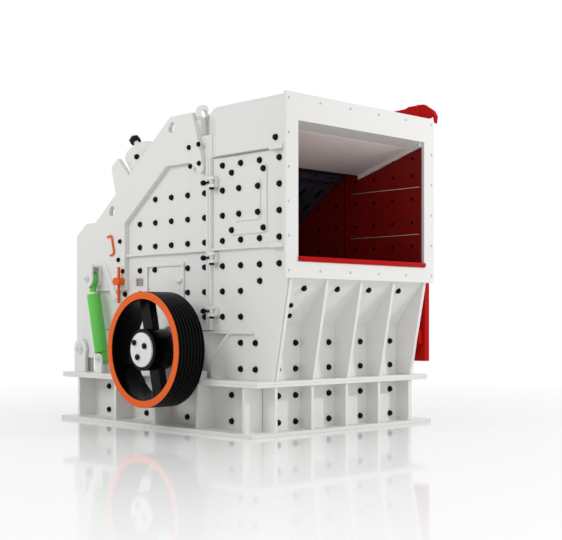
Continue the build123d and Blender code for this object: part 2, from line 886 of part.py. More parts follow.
with BuildPart() as rear_roof:
    with BuildSketch(Plane.XZ):
        with BuildLine():
            Polyline(
                (split_rear, rear_top),
                (roof_break_x, rear_top),
                (rear_x, rear_roof_z),
                (rear_x, rear_roof_z - roof_drop),
                (roof_inner_break_x, roof_underside),
                (split_rear, roof_underside),
                close=True,
            )
        make_face()
    extrude(amount=chamber_half, both=True)
rear_roof.part.label = "rear_roof"
export_step(rear_roof.part, "parts/rear_roof.step")

with BuildPart() as rear_back_wall:
    with BuildSketch(Plane.XZ):
        with BuildLine():
            Polyline(
                (rear_x, rear_bottom),
                (rear_x, rear_roof_z - roof_drop),
                (back_inner_x, back_inner_z),
                (back_inner_x, rear_bottom),
                close=True,
            )
        make_face()
    extrude(amount=chamber_half, both=True)
rear_back_wall.part.label = "rear_back_wall"
export_step(rear_back_wall.part, "parts/rear_back_wall.step")

# Thick outer blades with lifting eyes, and the rear columns that carry the hinge
rear_cheek_outer = wall_outer + rear_cheek_thickness
blade_top = rear_top + blade_rise
blade_nose_z = rear_top - blade_nose_drop
blade_inner_z = rear_top - blade_inner_drop
blade_rear_x = rear_x - blade_rear_reach
blade_leg_inner = blade_rear_x + blade_leg_width
column_top = rear_top - column_drop
blade_leg_bottom = column_top - blade_leg_length
column_rear_x = hinge_x - column_rear_reach
blade_slope = math.atan2(blade_top - column_top, blade_top_rear - blade_rear_x)
blade_leg_top = blade_inner_z - (blade_inner_rear - blade_leg_inner) * math.tan(blade_slope)
column_bottom = joint_top + column_bottom_rise
blade_edge = Vector(blade_rear_x - blade_top_rear, column_top - blade_top)
blade_inset = Vector(math.sin(blade_slope), -math.cos(blade_slope)) * blade_hole_inset
blade_corner = Vector(blade_top_rear, blade_top)
blade_holes = [blade_corner + blade_edge * share + blade_inset for share in blade_hole_shares]
ear_foot, ear_heel = [blade_corner + blade_edge * share for share in ear_shares]
ear_out = Vector(-math.sin(blade_slope), math.cos(blade_slope))
ear_along = Vector(math.cos(blade_slope), math.sin(blade_slope))
ear_tip = ear_foot + ear_out * ear_height + ear_along * ear_lean
ear_top = ear_tip + ear_along * ear_crown

with BuildPart() as rear_blades:
    with BuildSketch(*side_planes(wall_outer, rear_cheek_thickness)):
        with BuildLine():
            Polyline(
                (blade_top_rear, blade_top),
                (blade_top_front, blade_top),
                (blade_nose_x + blade_nose_radius, blade_nose_z),
                (blade_nose_x - blade_nose_radius, blade_nose_z),
                (blade_inner_front, blade_inner_z),
                (blade_inner_rear, blade_inner_z),
                (blade_leg_inner, blade_leg_top),
                (blade_leg_inner, blade_leg_bottom),
                (blade_rear_x, blade_leg_bottom),
                (blade_rear_x, column_top),
                close=True,
            )
        make_face()
        with Locations((blade_nose_x, blade_nose_z)):
            Circle(blade_nose_radius)
        with BuildLine():
            Polyline(
                ear_foot,
                ear_tip,
                ear_top,
                ear_heel,
                ear_heel + blade_inset,
                ear_foot + blade_inset,
                close=True,
            )
        make_face()
        with Locations(*blade_holes):
            SlotOverall(blade_hole_length, blade_hole_width, rotation=blade_hole_turn, mode=Mode.SUBTRACT)
    extrude(amount=rear_cheek_thickness)
rear_blades.part.label = "rear_blades"
export_step(rear_blades.part, "parts/rear_blades.step")

# Ledge along the rear side walls, from the blade's leg to the split flange
rear_ledge_end = split_rear - split_flange_thickness

with BuildPart() as rear_ledges:
    with BuildSketch(*side_planes(wall_outer, ledge_depth)):
        with Locations(((blade_leg_inner + rear_ledge_end) / 2, ledge_z)):
            Rectangle(rear_ledge_end - blade_leg_inner, ledge_thickness)
    extrude(amount=ledge_depth)
rear_ledges.part.label = "rear_ledges"
export_step(rear_ledges.part, "parts/rear_ledges.step")

with BuildPart() as rear_columns:
    with BuildSketch(*side_planes(wall_outer, wall_thickness)):
        with BuildLine():
            Polyline(
                (blade_rear_x, column_bottom),
                (blade_rear_x, column_top),
                (column_rear_x + column_chamfer_x, column_top),
                (column_rear_x, column_top - column_chamfer_z),
                (column_rear_x, column_bottom),
                close=True,
            )
        make_face()
        with Locations((hinge_x, hinge_z)):
            Circle(hinge_eye_radius)
            Circle(hinge_pin_radius + seat_clearance, mode=Mode.SUBTRACT)
    extrude(amount=wall_thickness)
rear_columns.part.label = "rear_columns"
export_step(rear_columns.part, "parts/rear_columns.step")

# Bent plate that ties the two columns together behind the housing
box_bottom = hinge_z + hinge_fork_radius
box_rear = column_rear_x + box_inset
box_corner_x = column_rear_x + column_chamfer_x
box_corner_z = column_top - column_chamfer_z - box_inset
box_top = column_top - box_inset

with BuildPart() as rear_box:
    with BuildSketch(Plane.XZ):
        with BuildLine():
            Polyline(
                (box_rear, box_bottom),
                (box_rear, box_corner_z),
                (box_corner_x, box_top),
                (rear_x, box_top),
                (rear_x, box_top - box_plate),
                (box_corner_x, box_top - box_plate),
                (box_rear + box_plate, box_corner_z),
                (box_rear + box_plate, box_bottom),
                close=True,
            )
        make_face()
    extrude(amount=wall_outer, both=True)
rear_box.part.label = "rear_box"
export_step(rear_box.part, "parts/rear_box.step")

# Hinge forks on the housing flange with their pins
fork_inner = wall_outer - hinge_fork_gap - hinge_fork_thickness
fork_outer = wall_outer + wall_thickness + hinge_fork_gap
hinge_pin_length = fork_outer + hinge_fork_thickness - fork_inner

with BuildPart() as hinge_forks:
    for cheek_inner in (fork_inner, fork_outer):
        with BuildSketch(*side_planes(cheek_inner, hinge_fork_thickness)):
            with Locations((hinge_x, joint_top + hinge_rise / 2)):
                Rectangle(hinge_fork_foot, hinge_rise)
            with Locations((hinge_x, hinge_z)):
                Circle(hinge_fork_radius)
        extrude(amount=hinge_fork_thickness)
    with BuildSketch(*side_planes(fork_inner, hinge_pin_length)):
        with Locations((hinge_x, hinge_z)):
            Circle(hinge_pin_radius)
    extrude(amount=hinge_pin_length)
hinge_forks.part.label = "hinge_forks"
export_step(hinge_forks.part, "parts/hinge_forks.step")

# Hollow crown on the rear roof that carries on the taper of the hood
crown_taper = hood_overhang / hood_facet_length
crown_skin = hood_plate / math.cos(math.atan(crown_taper))
crown_height = hood_top - crown_drop - rear_top
crown_front_inner = split_rear - hood_plate
crown_rear_inner = roof_break_x + hood_plate


def crown_half(x):
    return wall_outer - (split_front - x) * crown_taper


with BuildPart() as rear_crown:
    with BuildSketch(Plane.XY.offset(rear_top)):
        with BuildLine():
            Polyline(
                (split_rear, -crown_half(split_rear)),
                (split_rear, crown_half(split_rear)),
                (roof_break_x, crown_half(roof_break_x)),
                (roof_break_x, -crown_half(roof_break_x)),
                close=True,
            )
        make_face()
    extrude(amount=crown_height)
    with BuildSketch(Plane.XY.offset(rear_top)):
        with BuildLine():
            Polyline(
                (crown_front_inner, crown_skin - crown_half(crown_front_inner)),
                (crown_front_inner, crown_half(crown_front_inner) - crown_skin),
                (crown_rear_inner, crown_half(crown_rear_inner) - crown_skin),
                (crown_rear_inner, crown_skin - crown_half(crown_rear_inner)),
                close=True,
            )
        make_face()
    extrude(amount=crown_height - hood_plate, mode=Mode.SUBTRACT)
rear_crown.part.label = "rear_crown"
export_step(rear_crown.part, "parts/rear_crown.step")

# Lifting lugs across the housing, between the crown and the blades
lug_x = blade_top_front + lug_reach
lug_y = wall_outer - lug_inset
lug_inner = crown_half(lug_x + lug_thickness) + lift_gap
lug_outer = wall_outer - lift_gap
lug_hole_z = rear_top + lug_height

with BuildPart() as lifting_lugs:
    with BuildSketch(Plane.YZ.offset(lug_x)):
        with Locations(((lug_inner + lug_outer) / 2, rear_top + lug_height / 2)):
            Rectangle(lug_outer - lug_inner, lug_height)
        with Locations((lug_y, lug_hole_z)):
            Circle(lug_radius)
            Circle(lug_hole_radius, mode=Mode.SUBTRACT)
        with Locations((lug_inner - lug_radius, lug_hole_z)):
            Rectangle(2 * lug_radius, 2 * lug_radius, mode=Mode.SUBTRACT)
    extrude(amount=lug_thickness)
    mirror(about=Plane.XZ)
lifting_lugs.part.label = "lifting_lugs"
export_step(lifting_lugs.part, "parts/lifting_lugs.step")

# Apron adjusters: spring housings standing square on the sloping roof, with spindle and nut on top
slope_along = (math.cos(roof_slope), 0, math.sin(roof_slope))
slope_normal = (-math.sin(roof_slope), 0, math.cos(roof_slope))
adjuster_x = roof_break_x - adjuster_run * math.cos(roof_slope)
adjuster_z = rear_top - adjuster_run * math.sin(roof_slope)
adjuster_y = chamber_half - adjuster_inset
adjuster_places = ((0, -adjuster_y), (0, adjuster_y))
adjuster_plane = Plane(origin=(adjuster_x, 0, adjuster_z), x_dir=slope_along, z_dir=slope_normal)
spindle_nut_start = adjuster_height + adjuster_crown + spindle_length - 2 * spindle_nut_height

with BuildPart() as apron_adjusters:
    with BuildSketch(adjuster_plane):
        with Locations(*adjuster_places):
            Rectangle(2 * adjuster_foot_radius, 2 * adjuster_foot_radius)
    extrude(amount=adjuster_foot_thickness)
    with BuildSketch(adjuster_plane):
        with Locations(*adjuster_places):
            Circle(adjuster_radius)
    extrude(amount=adjuster_height)
    with BuildSketch(adjuster_plane.offset(adjuster_height)):
        with Locations(*adjuster_places):
            Circle(adjuster_radius)
    extrude(amount=adjuster_crown, taper=adjuster_crown_taper)
    with BuildSketch(adjuster_plane.offset(adjuster_height)):
        with Locations(*adjuster_places):
            Circle(spindle_radius)
    extrude(amount=adjuster_crown + spindle_length)
    with BuildSketch(adjuster_plane.offset(spindle_nut_start)):
        with Locations(*adjuster_places):
            RegularPolygon(spindle_nut, 6)
    extrude(amount=spindle_nut_height)
apron_adjusters.part.label = "apron_adjusters"
export_step(apron_adjusters.part, "parts/apron_adjusters.step")

# Impact aprons hung on cross shafts
apron_half = liner_inner - apron_side_gap


def rotor_point(radius, angle):
    turn = math.radians(angle)
    return (rotor_x + radius * math.cos(turn), rotor_z + radius * math.sin(turn))


upper_end = rotor_point(rotor_radius + upper_apron_gap, upper_apron_end_angle)
upper_back = rotor_point(rotor_radius + upper_apron_gap + apron_thickness, upper_apron_end_angle)

with BuildPart() as upper_apron:
    with BuildSketch(Plane.XZ):
        with BuildLine():
            Polyline(
                (upper_apron_front_x, upper_apron_front_z + apron_thickness / 2),
                (upper_apron_front_x, upper_apron_front_z - apron_thickness / 2),
                (upper_apron_knee_x, upper_apron_knee_z - apron_thickness / 2),
                upper_end,
                upper_back,
                (upper_apron_knee_x - apron_thickness, upper_apron_knee_z),
                (upper_apron_knee_x - apron_thickness / 2, upper_apron_knee_z + apron_thickness / 2),
                close=True,
            )
        make_face()
    extrude(amount=apron_half, both=True)
    with BuildSketch(Plane.XZ):
        with Locations(upper_shaft):
            Circle(apron_shaft_radius)
    extrude(amount=chamber_half, both=True)
upper_apron.part.label = "upper_apron"
export_step(upper_apron.part, "parts/upper_apron.step")

lower_end = rotor_point(rotor_radius + lower_apron_gap, lower_apron_end_angle)
lower_back = rotor_point(rotor_radius + lower_apron_gap + apron_thickness, lower_apron_end_angle)

with BuildPart() as lower_apron:
    with BuildSketch(Plane.XZ):
        with BuildLine():
            Polyline(
                (lower_apron_top_x + apron_thickness / 2, lower_apron_top_z),
                lower_end,
                lower_back,
                (lower_apron_top_x - apron_thickness / 2, lower_apron_top_z),
                close=True,
            )
        make_face()
    extrude(amount=apron_half, both=True)
    with BuildSketch(Plane.XZ):
        with Locations(lower_shaft):
            Circle(apron_shaft_radius)
    extrude(amount=chamber_half, both=True)
lower_apron.part.label = "lower_apron"
export_step(lower_apron.part, "parts/lower_apron.step")

# Opening cylinders: barrel on the flange, rod to the housing, a bracket at each end
foot_z = joint_top + cylinder_foot_rise
head_z = blade_leg_bottom + cylinder_head_lift
cylinder_y = rear_cheek_outer + cylinder_offset
cylinder_foot_x = rear_x + cylinder_foot_reach
cylinder_head_x = blade_rear_x + cylinder_head_reach
cylinder_run = cylinder_head_x - cylinder_foot_x
cylinder_length = math.hypot(cylinder_run, head_z - foot_z)
cylinder_along = (cylinder_run / cylinder_length, 0, (head_z - foot_z) / cylinder_length)
eye_inner = cylinder_y - eye_width / 2
barrel_end = cylinder_length - gland_room
bore_start = 2 * eye_radius
fork_gap_inner = eye_inner - eye_side_gap
fork_gap_outer = eye_inner + eye_width + eye_side_gap
fork_gap = fork_gap_outer - fork_gap_inner

for side, direction in zip(sides, (-1, 1)):
    along_plane = Plane(
        origin=(cylinder_foot_x, direction * cylinder_y, foot_z), x_dir=(0, 1, 0), z_dir=cylinder_along
    )
    with BuildPart() as cylinder_barrel:
        with BuildSketch(side_plane(side, eye_inner, eye_width)):
            with Locations((cylinder_foot_x, foot_z)):
                Circle(eye_radius)
        extrude(amount=eye_width)
        with BuildSketch(along_plane):
            Rectangle(eye_width, 2 * eye_radius)
        extrude(amount=bore_start)
        with BuildSketch(along_plane.offset(eye_radius + eye_side_gap)):
            Circle(barrel_radius)
        extrude(amount=barrel_end - eye_radius - eye_side_gap)
        with BuildSketch(side_plane(side, eye_inner, eye_width)):
            with Locations((cylinder_foot_x, foot_z)):
                Circle(cylinder_pin_radius + seat_clearance)
        extrude(amount=eye_width, mode=Mode.SUBTRACT)
        with BuildSketch(along_plane.offset(bore_start)):
            Circle(barrel_bore)
        extrude(amount=barrel_end - bore_start - gland_length, mode=Mode.SUBTRACT)
        with BuildSketch(along_plane.offset(barrel_end - gland_length)):
            Circle(rod_radius + seat_clearance)
        extrude(amount=gland_length, mode=Mode.SUBTRACT)
    cylinder_barrel.part.label = f"{side}_cylinder_barrel"
    export_step(cylinder_barrel.part, f"parts/{side}_cylinder_barrel.step")

    with BuildPart() as cylinder_rod:
        with BuildSketch(along_plane.offset(bore_start + eye_side_gap)):
            Circle(rod_radius)
        extrude(amount=cylinder_length - bore_start - eye_side_gap)
        with BuildSketch(side_plane(side, eye_inner, eye_width)):
            with Locations((cylinder_head_x, head_z)):
                Circle(rod_eye_radius)
        extrude(amount=eye_width)
        with BuildSketch(side_plane(side, eye_inner - rod_radius, eye_width + 2 * rod_radius)):
            with Locations((cylinder_head_x, head_z)):
                Circle(cylinder_pin_radius + open_pivot_clearance)
        extrude(amount=eye_width + 2 * rod_radius, mode=Mode.SUBTRACT)
    cylinder_rod.part.label = f"{side}_cylinder_rod"
    export_step(cylinder_rod.part, f"parts/{side}_cylinder_rod.step")

with BuildPart() as cylinder_feet:
    for cheek_inner in (fork_gap_inner - bracket_cheek, fork_gap_outer):
        with BuildSketch(*side_planes(cheek_inner, bracket_cheek)):
            with Locations((cylinder_foot_x, joint_top + cylinder_foot_rise / 2)):
                Rectangle(2 * eye_radius, cylinder_foot_rise)
            with Locations((cylinder_foot_x, foot_z)):
                Circle(eye_radius)
        extrude(amount=bracket_cheek)
    with BuildSketch(*side_planes(fork_gap_inner, fork_gap)):
        with Locations((cylinder_foot_x, foot_z)):
            Circle(cylinder_pin_radius)
    extrude(amount=fork_gap)
cylinder_feet.part.label = "cylinder_feet"
export_step(cylinder_feet.part, "parts/cylinder_feet.step")

head_depth = fork_gap_outer + bracket_cheek - rear_cheek_outer
head_shank = rod_eye_radius + head_room
head_radius = rod_eye_radius + head_margin

with BuildPart() as cylinder_heads:
    with BuildSketch(*side_planes(rear_cheek_outer, head_depth)):
        with Locations((cylinder_head_x, head_z + head_shank + bracket_cheek / 2)):
            Rectangle(2 * head_radius, bracket_cheek)
        with Locations((cylinder_head_x, head_z)):
            Circle(cylinder_pin_radius)
    extrude(amount=head_depth)
    for cheek_inner, cheek_depth in (
        (rear_cheek_outer, fork_gap_inner - rear_cheek_outer),
        (fork_gap_outer, bracket_cheek),
    ):
        with BuildSketch(*side_planes(cheek_inner, cheek_depth)):
            with Locations((cylinder_head_x, head_z + head_shank / 2)):
                Rectangle(2 * head_radius, head_shank)
            with Locations((cylinder_head_x, head_z)):
                Circle(head_radius)
        extrude(amount=cheek_depth)
cylinder_heads.part.label = "cylinder_heads"
export_step(cylinder_heads.part, "parts/cylinder_heads.step")

# Locking rods held in collars on the blades, and bent pull handles above them
lock_rod_x = blade_leg_inner - lock_rod_inset
lock_rod_bottom = blade_leg_bottom - lock_rod_drop
lock_rod_inner = rear_cheek_outer + lock_collar_radius
lock_collar_z = lock_rod_bottom + lock_rod_length * lock_collar_share
handle_y = rear_cheek_outer + handle_radius + lift_gap
handle_foot = Vector(blade_leg_inner - handle_inset, -handle_y, blade_leg_bottom + handle_rise)
handle_turn = math.radians(handle_lean)
handle_up = Vector(-math.sin(handle_turn), 0, math.cos(handle_turn))
handle_back = Vector(-math.cos(handle_turn), 0, -math.sin(handle_turn))

with BuildPart() as lock_rods:
    with BuildSketch(Plane.XY.offset(lock_rod_bottom)):
        with Locations((lock_rod_x, -lock_rod_inner), (lock_rod_x, lock_rod_inner)):
            Circle(lock_rod_radius)
    extrude(amount=lock_rod_length)
    with BuildSketch(*side_planes(rear_cheek_outer, 2 * lock_collar_radius)):
        with Locations((lock_rod_x, lock_collar_z)):
            SlotOverall(lock_collar_length, 2 * lock_collar_radius)
    extrude(amount=2 * lock_collar_radius)
lock_rods.part.label = "lock_rods"
export_step(lock_rods.part, "parts/lock_rods.step")

with BuildPart() as pull_handles:
    with BuildLine() as handle_line:
        FilletPolyline(
            handle_foot + handle_back * handle_return,
            handle_foot,
            handle_foot + handle_up * handle_grip,
            handle_foot + handle_up * handle_grip + handle_back * handle_return,
            radius=handle_bend,
        )
    with BuildSketch(Plane(origin=handle_line.line @ 0, z_dir=handle_line.line % 0)):
        Circle(handle_radius)
    sweep()
    mirror(about=Plane.XZ)
pull_handles.part.label = "pull_handles"
export_step(pull_handles.part, "parts/pull_handles.step")

# Jib on the idle side: a post on two wall brackets and an arm that swings on its spigot
jib_post_bottom = joint_top + jib_post_lift
jib_post_top = hood_top + jib_post_rise
jib_bracket_heights = (joint_top + jib_bracket_rise, hood_bottom - jib_bracket_drop)
jib_inner = hood_half + jib_hood_gap
jib_x = feed_x - jib_setback
jib_y = jib_inner + jib_post_depth / 2

with BuildPart() as jib_post:
    with BuildSketch(Plane.XY.offset(jib_post_bottom)):
        with Locations((jib_x, jib_y)):
            Rectangle(jib_post_length, jib_post_depth)
    extrude(amount=jib_post_top - jib_post_bottom)
    for bracket_z in jib_bracket_heights:
        with BuildSketch(side_plane("idle", cheek_outer, jib_inner - cheek_outer)):
            with Locations((jib_x, bracket_z)):
                Rectangle(jib_bracket_length, jib_bracket_height)
        extrude(amount=jib_inner - cheek_outer)
    with BuildSketch(Plane.XY.offset(jib_post_top)):
        with Locations((jib_x, jib_y)):
            Circle(jib_spigot_radius)
    extrude(amount=jib_spigot_height)
jib_post.part.label = "jib_post"
export_step(jib_post.part, "parts/jib_post.step")

jib_arm_bottom = jib_post_top + lift_gap
jib_outline = [
    (jib_x + jib_arm_length * along, jib_arm_bottom + jib_arm_rise * up) for along, up in jib_outline_shares
]

with BuildPart() as jib_arm:
    with BuildSketch(side_plane("idle", jib_y - jib_arm_thickness / 2, jib_arm_thickness)):
        with BuildLine():
            Polyline(*jib_outline, close=True)
        make_face()
    extrude(amount=jib_arm_thickness)
    with BuildSketch(Plane.XY.offset(jib_arm_bottom)):
        with Locations((jib_x, jib_y)):
            Circle(jib_collar_radius)
    extrude(amount=jib_arm_rise)
    with BuildSketch(Plane.XY.offset(jib_arm_bottom)):
        with Locations((jib_x, jib_y)):
            Circle(jib_spigot_radius + seat_clearance)
    extrude(amount=jib_spigot_height, mode=Mode.SUBTRACT)
jib_arm.part.label = "jib_arm"
export_step(jib_arm.part, "parts/jib_arm.step")
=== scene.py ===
import json
import math

import bmesh
import bpy
from mathutils import Matrix, Vector


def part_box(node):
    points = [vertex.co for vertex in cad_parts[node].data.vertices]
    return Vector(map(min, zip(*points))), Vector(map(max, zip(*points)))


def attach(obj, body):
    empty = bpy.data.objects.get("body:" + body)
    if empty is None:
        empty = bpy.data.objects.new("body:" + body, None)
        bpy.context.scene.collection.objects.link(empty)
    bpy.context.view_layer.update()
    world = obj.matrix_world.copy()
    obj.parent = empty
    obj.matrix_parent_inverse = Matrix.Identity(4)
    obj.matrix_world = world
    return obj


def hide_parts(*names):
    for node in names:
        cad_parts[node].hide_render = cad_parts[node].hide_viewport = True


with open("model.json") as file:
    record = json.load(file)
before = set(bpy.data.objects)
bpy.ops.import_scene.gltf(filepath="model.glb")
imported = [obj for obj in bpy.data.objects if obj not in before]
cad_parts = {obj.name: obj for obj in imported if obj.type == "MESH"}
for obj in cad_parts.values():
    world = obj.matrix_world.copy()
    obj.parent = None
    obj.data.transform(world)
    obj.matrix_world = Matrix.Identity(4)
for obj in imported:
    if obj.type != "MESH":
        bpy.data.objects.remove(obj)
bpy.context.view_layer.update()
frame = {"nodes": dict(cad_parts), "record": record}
nodes = frame["nodes"]
scene = bpy.context.scene
print("frame loaded:", len(nodes), "nodes")


# a shader socket that takes part in plain arithmetic
class Wire:
    def __init__(self, tree, socket):
        self.tree = tree
        self.socket = socket

    def combine(self, operation, first, second):
        node = self.tree.nodes.new("ShaderNodeMath")
        node.operation = operation
        for index, value in enumerate((first, second)):
            if isinstance(value, Wire):
                self.tree.links.new(value.socket, node.inputs[index])
            else:
                node.inputs[index].default_value = value
        return Wire(self.tree, node.outputs[0])

    def __add__(self, other):
        return self.combine("ADD", self, other)

    def __radd__(self, other):
        return self.combine("ADD", other, self)

    def __sub__(self, other):
        return self.combine("SUBTRACT", self, other)

    def __rsub__(self, other):
        return self.combine("SUBTRACT", other, self)

    def __mul__(self, other):
        return self.combine("MULTIPLY", self, other)

    def __rmul__(self, other):
        return self.combine("MULTIPLY", other, self)

    def beside(self, outlet):
        return Wire(self.tree, self.socket.node.outputs[outlet])


# one node tree; every node that isn't plain maths comes from add
class Finish:
    def __init__(self, tree):
        self.tree = tree

    def add(self, kind, sockets=None, settings=None, outlet=0):
        node = self.tree.nodes.new(kind)
        for key, value in (settings or {}).items():
            setattr(node, key, value)
        self.feed(node, sockets or {})
        return Wire(self.tree, node.outputs[outlet])

    def feed(self, node, sockets):
        for key, value in sockets.items():
            if isinstance(value, Wire):
                self.tree.links.new(value.socket, node.inputs[key])
            else:
                node.inputs[key].default_value = value

    def place(self):
        return self.add("ShaderNodeTexCoord", outlet="Object")

    def stretch(self, place, scale):
        return self.add("ShaderNodeMapping", {"Vector": place, "Scale": scale})

    def noise(self, place, scale, detail=4.0, rough=0.5):
        sockets = {"Vector": place, "Scale": scale, "Detail": detail, "Roughness": rough}
        return self.add("ShaderNodeTexNoise", sockets)

    def bump(self, height, strength, depth):
        sockets = {"Height": height, "Strength": strength, "Distance": depth}
        return self.add("ShaderNodeBump", sockets)

    def between(self, value, low, high, top=1.0):
        sockets = {0: value, 1: low, 2: high, 3: 0.0, 4: top}  # from low to high becomes 0 to top
        return self.add("ShaderNodeMapRange", sockets)

    def blendColour(self, mask, first, second):
        colours = [value if isinstance(value, Wire) else (*value, 1.0) for value in (first, second)]
        sockets = {0: mask, 6: colours[0], 7: colours[1]}  # the factor and the two colours
        return self.add("ShaderNodeMix", sockets, {"data_type": "RGBA"}, outlet=2)


def newMaterial(name):
    material = bpy.data.materials.new(name)
    material.use_nodes = True
    return material, Finish(material.node_tree), material.node_tree.nodes["Principled BSDF"]


# sprayed paint: slight cloudiness, orange peel, dust in patches and towards the floor
paintLook = {
    "cloud": (2.2, 5.0),  # noise: scale, detail, roughness
    "specks": (5.0, 9.0, 0.7),
    "runs": (2.0, 6.0, 0.6),
    "peel": (150.0, 2.0),
    "runStretch": (9.0, 9.0, 0.7),
    "speckRange": (0.52, 0.78),
    "runRange": (0.56, 0.80),
    "runShare": 0.6,
    "dustHeight": 0.5,
    "dust": (0.50, 0.47, 0.42),
    "dirtShares": (0.6, 0.1),  # of the paint and of the dust in a dirty patch
    "cloudRough": 0.12,
    "dirtRough": 0.5,
    "peelStrength": 0.25,
    "peelDepth": 0.0003,
    "coatRough": 0.2,
}


def paintedSteel(name, colour, rough=0.38, shade=0.93, dirt=0.12, coat=0.15, gloss=0.5):
    material, finish, shader = newMaterial(name)
    place = finish.place()
    cloud = finish.noise(place, *paintLook["cloud"])
    specks = finish.noise(place, *paintLook["specks"])
    runs = finish.noise(finish.stretch(place, paintLook["runStretch"]), *paintLook["runs"])
    height = finish.add("ShaderNodeSeparateXYZ", {0: place}, outlet="Z")
    low = 1 - finish.between(height, 0.0, paintLook["dustHeight"])
    patches = finish.between(specks, *paintLook["speckRange"], dirt)
    streaks = finish.between(runs, *paintLook["runRange"], dirt)
    mask = patches + streaks * paintLook["runShare"] + low * specks * dirt
    base = finish.blendColour(cloud, colour, [channel * shade for channel in colour])
    paintShare, dustShare = paintLook["dirtShares"]
    dirty = [
        channel * paintShare + dusty * dustShare
        for channel, dusty in zip(colour, paintLook["dust"])
    ]
    base = finish.blendColour(mask, base, dirty)
    peel = finish.noise(place, *paintLook["peel"])
    cloudRough = paintLook["cloudRough"]
    finish.feed(shader, {
        "Base Color": base,
        "Roughness": rough - cloudRough / 2 + cloud * cloudRough + mask * paintLook["dirtRough"],
        "Normal": finish.bump(peel, paintLook["peelStrength"], paintLook["peelDepth"]),
        "Coat Weight": coat,
        "Coat Roughness": paintLook["coatRough"],
        "Specular IOR Level": gloss,
    })
    return material


# machined or cast metal with a grain along one direction
metalLook = {
    "lines": (3.0, 6.0),  # noise: scale, detail
    "lineRough": 0.2,
    "lineStrength": 0.3,
    "patchScale": 7.0,
    "dull": 0.7,
}


def bareMetal(name, colour, rough=0.32, grain=(4.0, 90.0, 90.0), depth=0.0003):
    material, finish, shader = newMaterial(name)
    place = finish.place()
    lines = finish.noise(finish.stretch(place, grain), *metalLook["lines"])
    patches = finish.noise(place, metalLook["patchScale"])
    dulled = [channel * metalLook["dull"] for channel in colour]
    lineRough = metalLook["lineRough"]
    finish.feed(shader, {
        "Base Color": finish.blendColour(patches, colour, dulled),
        "Roughness": rough - lineRough / 2 + lines * lineRough,
        "Normal": finish.bump(lines, metalLook["lineStrength"], depth),
        "Metallic": 1.0,
    })
    return material


# the cylinder's rod: chromed next to the barrel, green from its neck up
rodLook = {
    "along": (-0.2344, 0.97214),  # x and z of the rod's direction
    "greenFrom": 1.366,
    "neck": 0.002,
    "chrome": (0.80, 0.80, 0.81),
    "green": (0.13, 0.60, 0.09),
    "shade": 0.9,
    "grain": (90.0, 90.0, 6.0),
    "lineStrength": 0.2,
    "lineDepth": 0.0001,
    "chromeRough": 0.12,
    "lineRough": 0.1,
    "greenRough": 0.18,  # added to the chrome's
}


def rodFinish():
    material, finish, shader = newMaterial("chromedRod")
    place = finish.place()
    x = finish.add("ShaderNodeSeparateXYZ", {0: place}, outlet="X")
    reach = x * rodLook["along"][0] + x.beside("Z") * rodLook["along"][1]
    neck = finish.between(reach, rodLook["greenFrom"], rodLook["greenFrom"] + rodLook["neck"])
    lines = finish.noise(finish.stretch(place, rodLook["grain"]), *metalLook["lines"])
    cloud = finish.noise(place, *paintLook["cloud"])
    shaded = [channel * rodLook["shade"] for channel in rodLook["green"]]
    green = finish.blendColour(cloud, rodLook["green"], shaded)
    rough = rodLook["chromeRough"] + lines * rodLook["lineRough"] + neck * rodLook["greenRough"]
    finish.feed(shader, {
        "Base Color": finish.blendColour(neck, rodLook["chrome"], green),
        "Metallic": 1 - neck,
        "Roughness": rough,
        "Normal": finish.bump(lines, rodLook["lineStrength"], rodLook["lineDepth"]),
    })
    return material


# paint: colour, roughness, shade, dirt, coat, gloss; metal: colour, roughness, grain, grain depth
finishes = {
    "body_paint": paintedSteel("whitePaint", (0.82, 0.815, 0.795), shade=0.97, dirt=0.07),
    "liner_red": paintedSteel("linerPaint", (0.25, 0.005, 0.004), 0.58, 0.75, 0.2, 0.0, 0.2),
    "signal_red": paintedSteel("redPaint", (0.49, 0.004, 0.003), 0.5, 0.88, 0.06, 0.0, 0.08),
    "bearing_paint": paintedSteel("bearingPaint", (0.72, 0.72, 0.71), rough=0.45),
    "shaft_steel": bareMetal("turnedShaft", (0.55, 0.55, 0.56), grain=(90.0, 4.0, 90.0)),
    "dark_steel": paintedSteel("apronPaint", (0.034, 0.036, 0.052), 0.45, 0.6, 0.1, 0.0, 0.4),
    "wear_iron": bareMetal("wearCasting", (0.20, 0.19, 0.18), 0.6, (20.0, 20.0, 20.0), 0.001),
    "pulley_black": paintedSteel("pulleyPaint", (0.002, 0.002, 0.0025), 0.26, 0.7, 0.02, 0.0, 0.10),
    "ring_orange": paintedSteel("orangePaint", (0.86, 0.13, 0.014), 0.48, 0.92, 0.06, 0.0, 0.25),
    "cylinder_green": paintedSteel("greenPaint", (0.13, 0.60, 0.09), 0.42, 0.92, 0.06, 0.0, 0.4),
    "rod_chrome": rodFinish(),
}
boltBlack = paintedSteel("boltBlack", (0.003, 0.003, 0.004), 0.5, 0.7, 0.02, 0.0, 0.12)
boltSteel = bareMetal("platedBolt", (0.42, 0.42, 0.43), rough=0.4, grain=(30.0, 30.0, 30.0))
boltPale = bareMetal("paleBolt", (0.82, 0.82, 0.83), rough=0.45, grain=(30.0, 30.0, 30.0))
# pale brownish grey: painted shade on the plate under the ceiling, painted highlight in the strips
# on the tile joints
shadeAndHighlightPaint = paintedSteel("shadeAndHighlightPaint", (0.80, 0.72, 0.69), 0.6, 0.92, 0.15, 0.0, 0.3)

